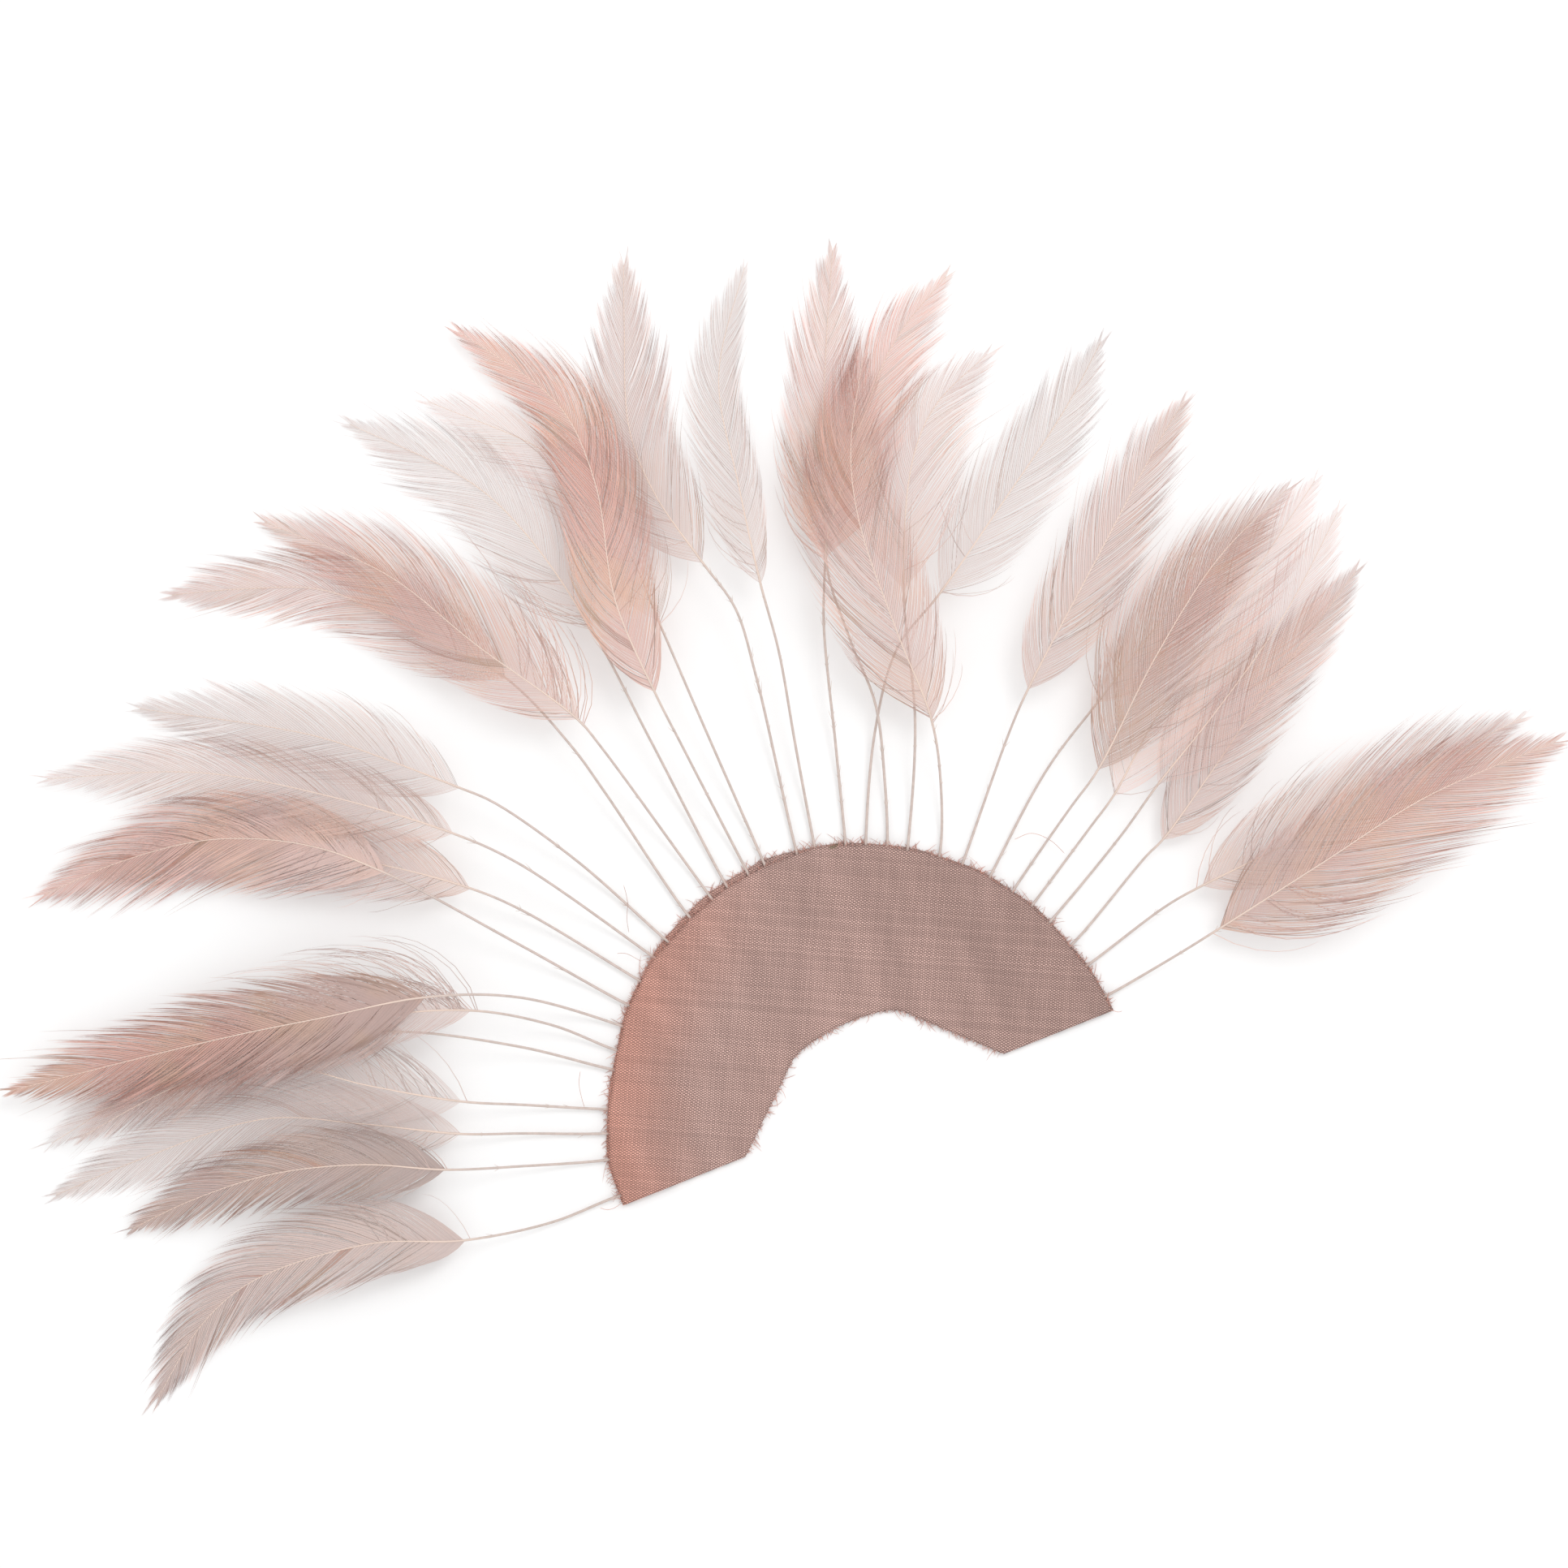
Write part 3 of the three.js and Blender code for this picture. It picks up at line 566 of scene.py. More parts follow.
def running_sum(values):
    """The sum along each row's barb places, by trapezoids, from zero."""
    steps = (values[:, 1:] + values[:, :-1]) / 2 * np.diff(BARB_PLACES)
    return np.concatenate([np.zeros((len(values), 1)), np.cumsum(steps, 1)], 1)


def barb_lines(shaft, layer, side, root, angle, reach, shift, lift, curl, sway=0.0):
    """The lines of barbs: side is 1 on the left of the shaft and -1 on the right."""
    place = BARB_PLACES
    turn = angle[:, None] * (1 - curl * place)
    forward, outward = running_sum(np.cos(turn)), running_sum(np.sin(turn))
    length = (reach / outward[:, -1])[:, None]
    along = root[:, None] + length * forward + shift[:, None] * place**3
    phase = root[:, None] * 2300
    out = length * outward + sway * np.sin(phase + 5 * place) * place
    point, left = shaft.along(along)
    plan = point + side * out[..., None] * left
    height = layer_height(plan, layer) + lift[:, None] * place**2
    return np.concatenate([plan, np.maximum(height, LOWEST_BARB)[..., None]], -1)


def fit_reach(place, web, angle, curl, vane_length):
    """How far out barbs reach so that their ends lie on the vane's outline."""
    slant = np.tan(angle * (1 - curl / 2))
    reach = web * web_share(place)
    for _ in range(OUTLINE_STEPS):
        end = place + reach / slant / vane_length
        reach = (reach + web * web_share(np.minimum(end, 1))) / 2
    return reach


def gather_locks(rng, ends, place, ragged, streaks):
    """Locks of barbs that cling together: how far each barb's end moves along the shaft, and each barb's
    share of its reach, its lift, its lock's tint and painted highlight or shade, and whether its lock
    clings tight, as a dark streak."""
    shift, reach, lift, tint, tight = np.zeros((5, len(ends)))
    first = 0
    while first < len(ends):
        lock = slice(first, first + int(rng.integers(*LOCK_SIZES)))
        size = len(ends[lock])
        loose = ragged * smoothstep(place[lock], *LOCKS_LOOSE)
        pull = rng.uniform(*LOCK_PULLS)
        shift[lock] = ((ends[lock].mean() - ends[lock]) * pull + rng.normal(0, LOCK_SLIP)) * loose
        middle = np.sin(np.pi * (np.arange(size) + 0.5) / size)
        shortened = LOCK_TAPER * (1 - middle) * rng.uniform(0.5, 1.5, size)
        reach[lock] = (rng.normal(0, LOCK_REACH) - shortened) * loose
        lift[lock] = rng.normal(0, LOCK_LIFT)
        tint[lock] = rng.random()
        tight[lock] = size <= TIGHT_SIZE and rng.random() < streaks
        first = lock.stop
    lift += TIGHT_LIFT * tight
    return shift, 1 + reach, lift, tint, tight > 0


def barb_widths(rng, feather, settings, place, lean, hairs):
    """The widths of barbs, by barb and place along it."""
    narrowing = np.interp(BARB_PLACES, NARROWING_PLACES, NARROWING)
    widths = settings.barb_spacing * np.sin(np.radians(lean))[:, None] * feather.cover * narrowing
    widths *= np.interp(place, COVER_PLACES, COVER_SHARES)[:, None]
    widths *= np.where(hairs, HAIR_WIDTH, rng.uniform(*BARB_WIDTHS, len(place)))[:, None]
    return widths


def rib_pattern(place):
    """How far each barb is a rib, from 1 down to less than 0 between ribs."""
    ribs = np.where(np.arange(len(place)) % RIB_EVERY == 0, 1, -1 / (RIB_EVERY - 1))
    return ribs * (RIB_LEAST + (1 - RIB_LEAST) * smoothstep(place, *RIBS_SHOW))


def add_vane(strands, rng, shaft, feather, side, settings):
    """The barbs on one side of a vane."""
    here = 0 if side > 0 else 1
    curl = feather.curl[here]
    count = int(shaft.vane_length * LAST_BARB / settings.barb_spacing)
    place = (np.arange(count) + rng.uniform(-BARB_SLIP, BARB_SLIP, count)).clip(0) / count * LAST_BARB
    lean = np.interp(place, BARB_ANGLE_PLACES, BARB_ANGLES)
    angle = np.radians(lean + rng.normal(0, BARB_ANGLE_SPREAD, count))
    reach = fit_reach(place, feather.web[here] * MM, angle, curl, shaft.vane_length)
    root = shaft.stem_length + place * shaft.vane_length
    ends = root + reach / np.tan(angle * (1 - curl / 2))
    shift, lock_reach, lift, lock_tint, tight = gather_locks(
        rng, ends, place, feather.ragged[here], feather.streaks)
    reach *= lock_reach * rng.normal(*BARB_REACHES, count)
    hairs = rng.random(count) < HAIR_SHARE
    reach *= np.where(hairs, rng.uniform(*HAIR_REACHES, count), 1)
    angle *= np.where(hairs, rng.uniform(*HAIR_ANGLES, count), 1)
    lift += np.where(hairs, HAIR_LIFT, 0) + rng.normal(*BARB_LIFTS, count) * MM
    lines = barb_lines(
        shaft, feather.layer, side, root, angle, reach, shift, lift, curl, sway=BARB_SWAY)
    ribbed = rib_pattern(place)
    widths = barb_widths(rng, feather, settings, place, lean, hairs)
    widths *= (1 + RIB_SWELL * (1 - feather.cover) * ribbed)[:, None]
    depths = np.full_like(widths, settings.barb_depth) * np.interp(BARB_PLACES, (0, 1), (1, END_DEPTH))
    tint = MIDDLE_TINT - RIB_TINT * ribbed + rng.uniform(0, TINT_SPREAD, count) - feather.deep
    tint = np.where(hairs, HAIR_TINT, np.where(tight, TIGHT_TINT, tint))
    pinker = np.where(hairs, HAIR_TONE, np.where(tight, TIGHT_TONE, 0))
    strands.add_strands(
        lines, BARB_PLACES, widths, depths, 0,
        vane_place=place, barb_tint=tint, lock_tint=lock_tint, feather_tone=feather.tone + pinker)


def add_wisps(strands, rng, shaft, feather, side):
    """Long loose barbs that stand off from the base of a vane."""
    here = 0 if side > 0 else 1
    count = feather.wisps[here]
    if not count:
        return
    place = np.sort(rng.uniform(*WISP_ROOTS, count))
    angle = np.radians(rng.uniform(*WISP_ANGLES, count))
    reach = feather.web[here] * MM * rng.uniform(*WISP_REACHES, count) * feather.sweep
    lines = barb_lines(
        shaft, feather.layer, side, shaft.stem_length + place * shaft.vane_length, angle, reach,
        rng.normal(0, WISP_SLIP, count), rng.uniform(*WISP_LIFTS, count) * MM, WISP_CURL, WISP_SWAY)
    width = rng.uniform(*WISP_WIDTHS, count)[:, None] * MM
    widths = width * np.interp(BARB_PLACES, (0, 1), (1, WISP_END))
    strands.add_strands(
        lines, BARB_PLACES, widths, widths / 2, 0, vane_place=WISP_PLACE, barb_tint=rng.random(count),
        lock_tint=rng.random(count), feather_tone=feather.tone * WISP_TONE)


def add_stubs(strands, rng, shaft, feather):
    """The ends of stripped barbs along a bare stem."""
    count = feather.stubs
    root = rng.uniform(QUILL_TUCK * 1.1, shaft.stem_length, count)
    angle = np.radians(rng.uniform(*STUB_ANGLES, count))
    reach = rng.uniform(*STUB_REACHES, count) * MM
    for side in (1, -1):
        here = rng.random(count) < 0.5
        if not here.any():
            continue
        still = np.zeros(here.sum())
        lines = barb_lines(
            shaft, feather.layer, side, root[here], angle[here], reach[here], still, still, STUB_CURL)
        widths = np.full(lines.shape[:2], STUB_WIDTH) * np.interp(BARB_PLACES, (0, 1), (1, STUB_END))
        strands.add_strands(
            lines, BARB_PLACES, widths, widths * 0.6, 1,
            vane_place=0.0, barb_tint=0.5, lock_tint=0.5, feather_tone=feather.tone)


def add_shaft(strands, shaft, feather):
    """The quill, stem and shaft of a feather, in one taper."""
    distance = np.linspace(0, shaft.full_length - SHAFT_SHORT * shaft.vane_length, SHAFT_RINGS)
    plan, _ = shaft.along(distance)
    height = layer_height(plan, feather.layer)
    thinned = shaft.stem_length + SHAFT_THINS * shaft.vane_length
    radii = np.interp(
        distance, (0, shaft.stem_length, thinned, shaft.full_length),
        (QUILL_RADIUS, STEM_RADIUS, VANE_RADIUS, SHAFT_TIP_RADIUS))
    place = (distance - shaft.stem_length) / shaft.vane_length
    strands.add_tube(
        np.column_stack([plan, height]), radii, SHAFT_SIDES, SHAFT_ROWS, 1,
        vane_place=place, barb_tint=0.5, lock_tint=0.5, feather_tone=feather.tone)


def make_feather(number, feather, settings, materials):
    rng = np.random.default_rng(FEATHER_SEED + number)
    shaft = Shaft(feather)
    strands = Strands(FEATHER_VALUES)
    add_shaft(strands, shaft, feather)
    for side in (1, -1):
        add_vane(strands, rng, shaft, feather, side, settings)
        add_wisps(strands, rng, shaft, feather, side)
    add_stubs(strands, rng, shaft, feather)
    return strands.make(f"feather_{number:02d}", materials)


# Cloths

CLOTH_STEPS_ROUND = 260
CLOTH_STEPS_ACROSS = 36
FIBRE_STEPS = 6


def notch_line():
    """The notch's edge from its left end to its right, as an array of points from the cloths' centre."""
    left_pull, right_pull = (
        shoulder + (shoulder - end) / np.linalg.norm(shoulder - end) * NOTCH_ROUNDING
        for end, shoulder in ((NOTCH_LEFT, NOTCH_LEFT_SHOULDER), (NOTCH_RIGHT, NOTCH_RIGHT_SHOULDER))
    )
    share = np.linspace(0, 1, SPAN_STEPS)[:, None]
    rounded = (
        (1 - share) ** 3 * NOTCH_LEFT_SHOULDER
        + 3 * share * (1 - share) ** 2 * left_pull
        + 3 * share**2 * (1 - share) * right_pull
        + share**3 * NOTCH_RIGHT_SHOULDER
    )
    return np.vstack([NOTCH_LEFT, rounded, NOTCH_RIGHT])


def cloth_plan(round_share, across_share, setback):
    """Points of a cloth, from its left end to its right and from its notch to its outer edge."""
    notch = notch_line()
    lengths = np.concatenate([[0], np.cumsum(np.linalg.norm(np.diff(notch, axis=0), axis=1))])
    inner = np.stack(
        [np.interp(round_share * lengths[-1], lengths, notch[:, axis]) for axis in (0, 1)], -1)
    angle = np.pi * (1 - round_share)
    radius = np.interp(np.degrees(angle), CUT_ANGLES, CUT_RADII) * MM - setback(angle)
    outer = radius[..., None] * np.stack([np.cos(angle), np.sin(angle)], -1)
    return PAD_CENTRE + inner + (outer - inner) * across_share[..., None]


def back_setback(angle):
    return 0.1 * MM * np.sin(23 * angle)


def front_setback(angle):
    """The front cloth stands back a little, and more at the upper left, where the back cloth shows."""
    turn = np.degrees(angle)
    shown = smoothstep(turn, 80, 92) * smoothstep(turn, 128, 114)
    return (0.35 + 0.9 * shown + 0.12 * np.sin(31 * angle)) * MM


def back_height(plan):
    ripple = np.sin(plan[..., 0] * 210 + plan[..., 1] * 130) * np.sin(plan[..., 1] * 170)
    return CLOTH_THICKNESS + 0.05 * MM * (1 + ripple)


def front_height(plan):
    """The front cloth's upper face: down on the back cloth, and up over each quill."""
    quills = np.vstack([Shaft(feather).along(np.linspace(0, QUILL_TUCK, 12))[0] for feather in FEATHERS])
    flat = plan.reshape(-1, 2)
    away = np.sqrt(((flat[:, None] - quills) ** 2).sum(-1).min(1)).reshape(plan.shape[:-1])
    over = np.exp(-((away / (2.4 * MM)) ** 2))
    ripple = np.sin(plan[..., 0] * 160 - plan[..., 1] * 90) * np.sin(plan[..., 1] * 120 + 1)
    low = 2 * CLOTH_THICKNESS + 0.14 * MM
    high = QUILL_HEIGHT + QUILL_RADIUS + CLOTH_THICKNESS + 0.06 * MM
    return low + (high - low) * over + 0.06 * MM * ripple


def make_cloth(name, setback, height, material):
    """A half ring of cloth with its own thickness."""
    bm = bmesh.new()
    bmesh.ops.create_grid(bm, x_segments=CLOTH_STEPS_ROUND, y_segments=CLOTH_STEPS_ACROSS, size=1)
    grid = np.array([vertex.co[:2] for vertex in bm.verts])
    share = (grid - grid.min(0)) / (grid.max(0) - grid.min(0))
    plan = cloth_plan(share[:, 0], share[:, 1], setback)
    for vertex, place, top in zip(bm.verts, plan, height(plan)):
        vertex.co = (*place, top)
    mesh = bpy.data.meshes.new(name)
    bm.to_mesh(mesh)
    bm.free()
    mesh.polygons.foreach_set("use_smooth", np.ones(len(mesh.polygons), bool))
    mesh.materials.append(material)
    cloth = bpy.data.objects.new(name, mesh)
    bpy.context.scene.collection.objects.link(cloth)
    thickness = cloth.modifiers.new("Thickness", "SOLIDIFY")
    thickness.thickness = CLOTH_THICKNESS
    thickness.offset = -1
    return cloth


def make_fray(name, setback, height, seed, count, material):
    """Loose fibres along the cut edges of a cloth."""
    rng = np.random.default_rng(seed)
    round_share = rng.uniform(0.005, 0.995, count)
    at_notch = rng.random(count) < 0.22
    across = np.where(at_notch, 0.0, 1.0)
    step = 0.004
    here = cloth_plan(round_share, across, setback)
    inside = cloth_plan(round_share, np.where(at_notch, step, 1 - step), setback)
    away = (here - inside) / np.linalg.norm(here - inside, axis=1, keepdims=True)
    beside = np.stack([-away[:, 1], away[:, 0]], -1)
    length = rng.gamma(1.6, 0.42, count).clip(0.2, 2.8) * MM
    lean = rng.normal(0, 0.8, count)
    bend = rng.normal(0, 0.5, count)
    share = np.linspace(0, 1, FIBRE_STEPS + 1)
    place = share[:, None, None]
    reach = length[:, None] * (away + lean[:, None] * beside) / np.hypot(1, lean)[:, None]
    curve = (length * bend)[:, None] * beside
    plan = here - 0.3 * MM * away + place * reach + place**2 * curve
    rise = rng.uniform(-0.25, 0.15, count) * MM
    level = height(here) - CLOTH_THICKNESS * rng.uniform(0.2, 0.8, count)
    heights = np.maximum(level + place[..., 0] * rise, 0.06 * MM)
    lines = np.concatenate([plan, heights[..., None]], -1).swapaxes(0, 1)
    widths = rng.uniform(0.07, 0.13, count)[:, None] * MM * np.interp(share, (0, 1), (1, 0.5))
    strands = Strands(("barb_place", "barb_tint"))
    strands.add_strands(lines, share, widths, widths * 0.8, 0, barb_tint=rng.random(count))
    return strands.make(name, [material])


def make_stray_threads(material):
    """Hairs and threads that have come loose and lie among the stems."""
    strands = Strands(("barb_place", "barb_tint"))
    for number, points in enumerate(STRAY_THREADS):
        plan = smooth_line(np.array(points) * MM, steps=8)
        height = np.maximum(layer_height(plan, 0) + 0.35 * MM, 0.1 * MM)
        line = np.column_stack([plan, height])[None]
        widths = np.full(line.shape[:2], 0.09 * MM)
        share = np.linspace(0, 1, len(plan))
        tint = np.array([number / len(STRAY_THREADS)])
        strands.add_strands(line, share, widths, widths, 0, barb_tint=tint)
    return strands.make("stray_threads", [material])


# Materials

class Nodes:
    """Adds nodes to a tree and links them: a value that is a socket is linked, any other is set."""

    def __init__(self, tree):
        self.tree = tree

    def add(self, kind, operation=None, **inputs):
        node = self.tree.nodes.new(kind)
        if operation:
            node.operation = operation
        for name, value in inputs.items():
            self.put(node, name.replace("_", " "), value)
        return node

    def give(self, socket, value):
        if isinstance(value, bpy.types.NodeSocket):
            self.tree.links.new(value, socket)
        else:
            socket.default_value = value

    def put(self, node, name, value):
        self.give(next(socket for socket in node.inputs if socket.name == name and socket.enabled), value)

    def math(self, operation, *values):
        node = self.tree.nodes.new("ShaderNodeMath")
        node.operation = operation
        for socket, value in zip(node.inputs, values):
            self.give(socket, value)
        return node.outputs[0]

    def mix(self, share, first, second, blend="MIX"):
        node = self.tree.nodes.new("ShaderNodeMix")
        node.data_type = "RGBA"
        node.blend_type = blend
        for socket, value in zip((node.inputs[0], node.inputs[6], node.inputs[7]), (share, first, second)):
            self.give(socket, (*value, 1) if isinstance(value, tuple) else value)
        return node.outputs[2]

    def range(self, value, low, high, to_low=0.0, to_high=1.0):
        node = self.tree.nodes.new("ShaderNodeMapRange")
        node.interpolation_type = "SMOOTHSTEP"
        for socket, given in zip(node.inputs, (value, low, high, to_low, to_high)):
            self.give(socket, given)
        return node.outputs[0]

    def attribute(self, name):
        node = self.tree.nodes.new("ShaderNodeAttribute")
        node.attribute_name = name
        return node.outputs["Fac"]

    def place(self):
        return self.tree.nodes.new("ShaderNodeTexCoord").outputs["Object"]

    def noise(self, vector, scale, detail=3.0):
        node = self.add("ShaderNodeTexNoise", Vector=vector, Scale=scale, Detail=detail)
        return node.outputs["Fac"]

    def mapped(self, vector, scale=(1, 1, 1), turn=0.0, move=(0, 0, 0)):
        node = self.add(
            "ShaderNodeMapping", Vector=vector, Scale=scale, Location=move, Rotation=(0, 0, turn))
        return node.outputs[0]


def new_material(name):
    material = bpy.data.materials.new(name)
    material.use_nodes = True
    material.node_tree.nodes.clear()
    return material, Nodes(material.node_tree)


def finish_material(nodes, shader):
    output = nodes.tree.nodes.new("ShaderNodeOutputMaterial")
    nodes.tree.links.new(shader, output.inputs["Surface"])


def barb_material(settings):
    """Barbs: thin and translucent, greyer at the vane's base and deeper towards its tip and edges."""
    material, nodes = new_material("hackle_barb")
    tone = nodes.attribute("feather_tone")
    vane = nodes.attribute("vane_place")
    barb = nodes.attribute("barb_place")
    tint = nodes.attribute("barb_tint")
    lock = nodes.attribute("lock_tint")
    place = nodes.place()
    patches = nodes.noise(place, 90, 2)
    depth = nodes.math("MULTIPLY", tone, nodes.range(vane, 0.0, 0.6, 0.45, 1.0))
    warmth = nodes.math("MULTIPLY", nodes.range(patches, 0.4, 0.65), nodes.math("MULTIPLY", tone, 0.7))
    colour = nodes.mix(depth, tuple(settings.film), tuple(settings.blush))
    colour = nodes.mix(warmth, colour, tuple(settings.tan))
    outer = nodes.range(barb, 0.45, 0.95)
    ends = nodes.math("MULTIPLY", outer, nodes.range(vane, 0.0, 0.5, 0.3, 0.9))
    ends = nodes.math("MULTIPLY", ends, nodes.range(lock, 0.1, 0.9, 0.1, 1.0))
    end_colour = nodes.mix(nodes.range(tone, 0.1, 0.6), tuple(settings.mauve), tuple(settings.rosy))
    colour = nodes.mix(ends, colour, end_colour)
    single = nodes.range(tint, -2.0, 2.0, 0.5, 1.38)
    # Painted highlight and shade: in the outer part of the barbs each lock is painted lighter or darker by
    # its lock value, as light falls on curled locks
    lock_shade = nodes.math("MULTIPLY", outer, 0.4)
    painted_lock_light = nodes.math("MULTIPLY_ADD", nodes.math("SUBTRACT", 0.5, lock), lock_shade, 1.0)
    shade = nodes.math("MULTIPLY", single, painted_lock_light)
    grey = nodes.add("ShaderNodeCombineColor", Red=shade, Green=shade, Blue=shade).outputs[0]
    colour = nodes.mix(1.0, colour, grey, "MULTIPLY")
    roughness = nodes.range(tint, 0.0, 1.0, 0.42, 0.62)
    surface = nodes.add("ShaderNodeBsdfPrincipled", Base_Color=colour, Roughness=roughness).outputs[0]
    through = nodes.add("ShaderNodeBsdfTranslucent", Color=colour).outputs[0]
    mixed = nodes.tree.nodes.new("ShaderNodeMixShader")
    mixed.inputs[0].default_value = 0.33
    nodes.tree.links.new(surface, mixed.inputs[1])
    nodes.tree.links.new(through, mixed.inputs[2])
    finish_material(nodes, mixed.outputs[0])
    return material


def shaft_material(settings):
    """Shafts: horn with fine lengthwise streaks, paler within the vane than on the stripped stem."""
    material, nodes = new_material("hackle_shaft")
    place = nodes.place()
    pale = nodes.range(nodes.attribute("vane_place"), -0.1, 0.1)
    streaks = nodes.range(nodes.noise(place, 900, 4), 0.35, 0.65, 0.0, 0.5)
    stem = nodes.mix(streaks, tuple(settings.stem), tuple(np.array(settings.stem) * 0.78))
    colour = nodes.mix(pale, stem, tuple(settings.shaft))
    roughness = nodes.range(nodes.noise(place, 400, 2), 0.3, 0.7, 0.3, 0.5)
    shader = nodes.add("ShaderNodeBsdfPrincipled", Base_Color=colour, Roughness=roughness)
    finish_material(nodes, shader.outputs[0])
    return material


def weave_group():
    """A plain weave: its height, how far down between threads a point is, and which thread is on top."""
    group = bpy.data.node_groups.new("plain_weave", "ShaderNodeTree")
    group.interface.new_socket("Place", in_out="INPUT", socket_type="NodeSocketVector")
    for name in ("Height", "Gap", "Across", "Thread"):
        group.interface.new_socket(name, in_out="OUTPUT", socket_type="NodeSocketFloat")
    nodes = Nodes(group)
    start = group.nodes.new("NodeGroupInput")
    end = group.nodes.new("NodeGroupOutput")
    split = nodes.add("ShaderNodeSeparateXYZ", Vector=start.outputs["Place"])
    waves = [nodes.math("SINE", nodes.math("MULTIPLY", split.outputs[axis], math.pi)) for axis in (0, 1)]
    crossing = nodes.math("MULTIPLY", *waves)
    over = nodes.range(crossing, -0.5, 0.5)
    under = nodes.math("SUBTRACT", 1.0, over)
    rounds = [nodes.math("POWER", nodes.math("ABSOLUTE", wave), 0.6) for wave in waves]
    first = nodes.math("MULTIPLY", rounds[0], nodes.math("MULTIPLY_ADD", over, 0.65, 0.35))
    second = nodes.math("MULTIPLY", rounds[1], nodes.math("MULTIPLY_ADD", under, 0.65, 0.35))
    height = nodes.math("MAXIMUM", first, second)
    whole = [nodes.math("FLOOR", split.outputs[axis]) for axis in (0, 1)]
    tones = []
    for axis, number in enumerate(whole):
        random = nodes.tree.nodes.new("ShaderNodeTexWhiteNoise")
        random.noise_dimensions = "1D"
        nodes.put(random, "W", nodes.math("ADD", number, 51.3 * axis))
        tones.append(random.outputs["Value"])
    thread = nodes.tree.nodes.new("ShaderNodeMix")
    for number, value in ((0, over), (2, tones[1]), (3, tones[0])):
        nodes.give(thread.inputs[number], value)
    gap = nodes.range(height, 0.8, 0.4)
    for name, value in dict(Height=height, Gap=gap, Across=over, Thread=thread.outputs[0]).items():
        nodes.give(end.inputs[name], value)
    return group


def glue_mask(nodes, place):
    """A small dried patch of glue on the outer edge, with a ragged outline."""
    moved = nodes.add("ShaderNodeVectorMath", "SUBTRACT").outputs[0]
    nodes.tree.links.new(place, moved.node.inputs[0])
    moved.node.inputs[1].default_value = GLUE_PLACE
    shaped = nodes.mapped(moved, scale=(1 / GLUE_LENGTH, 1 / GLUE_WIDTH, 0))
    away = nodes.add("ShaderNodeVectorMath", "LENGTH").outputs["Value"]
    nodes.tree.links.new(shaped, away.node.inputs[0])
    ragged = nodes.math("MULTIPLY_ADD", nodes.noise(place, 1500, 3), 0.9, away)
    return nodes.range(ragged, 1.15, 0.75, 0.0, 0.75)


def cloth_material(settings, weave):
    """Dusty rose plain-weave cloth, coral along its left edge, with lighter and deeper threads here and
    there.
    """
    material, nodes = new_material("rose_cloth")
    place = nodes.place()
    turned = nodes.mapped(place, turn=settings.weave_turn)
    wander = nodes.noise(place, 160, 2)
    offset = nodes.math("MULTIPLY", nodes.math("SUBTRACT", wander, 0.5), 0.0006)
    shifted = nodes.add("ShaderNodeVectorMath", "ADD").outputs[0]
    adder = shifted.node
    nodes.tree.links.new(turned, adder.inputs[0])
    nodes.tree.links.new(
        nodes.add("ShaderNodeCombineXYZ", X=offset, Y=offset).outputs[0], adder.inputs[1])
    counted = nodes.mapped(shifted, scale=(1 / settings.thread_width, 1 / settings.thread_pitch, 1))
    threads = nodes.tree.nodes.new("ShaderNodeGroup")
    threads.node_tree = weave
    nodes.tree.links.new(counted, threads.inputs["Place"])
    split = nodes.add("ShaderNodeSeparateXYZ", Vector=place)
    from_centre = nodes.math("SUBTRACT", split.outputs[1], float(PAD_CENTRE[1]))
    radius = nodes.math("SQRT", nodes.math(
        "ADD", nodes.math("POWER", split.outputs[0], 2.0), nodes.math("POWER", from_centre, 2.0)))
    leftwards = nodes.range(split.outputs[0], 0.004, -0.036)
    rim = nodes.range(nodes.math("MULTIPLY_ADD", wander, 0.006, radius), 0.032, 0.054)
    blush = nodes.math("MULTIPLY", nodes.math("MULTIPLY", leftwards, rim), 0.85)
    faded = nodes.range(nodes.noise(nodes.mapped(place, scale=(160, 30, 1)), 1.0, 3), 0.3, 0.75, 0.88, 1.06)
    rose = nodes.mix(blush, tuple(settings.rose), tuple(settings.coral))
    lift = nodes.range(threads.outputs["Thread"], 0.0, 1.0, 0.88, 1.14)
    bright = nodes.math("MULTIPLY", lift, faded)
    bright = nodes.math("MULTIPLY", bright, nodes.range(split.outputs[0], 0.0, 0.04, 1.0, 0.87))
    # Painted light and shade: where one set of threads lies on top the cloth is painted lighter, where the
    # other set lies on top it is painted darker
    light = nodes.math("MULTIPLY", bright, nodes.range(threads.outputs["Across"], 0.0, 1.0, 1.48, 0.62))
    level = nodes.add("ShaderNodeCombineColor", Red=light, Green=light, Blue=light).outputs[0]
    rose = nodes.mix(1.0, rose, level, "MULTIPLY")
    # Painted shade: the gaps between and below the threads take the darker rose shade colour, and a darker
    # coral along the left edge
    shade = nodes.mix(blush, tuple(settings.rose_shade), tuple(np.array(settings.coral) * 0.55))
    colour = nodes.mix(threads.outputs["Gap"], rose, shade)
    colour = nodes.mix(glue_mask(nodes, place), colour, tuple(settings.glue))
    bump = nodes.add("ShaderNodeBump", Height=threads.outputs["Height"], Distance=0.12 * MM, Strength=0.8)
    roughness = nodes.range(threads.outputs["Height"], 0.2, 0.9, 0.95, 0.72)
    shader = nodes.add(
        "ShaderNodeBsdfPrincipled", Base_Color=colour, Roughness=roughness, Normal=bump.outputs[0])
    finish_material(nodes, shader.outputs[0])
    return material


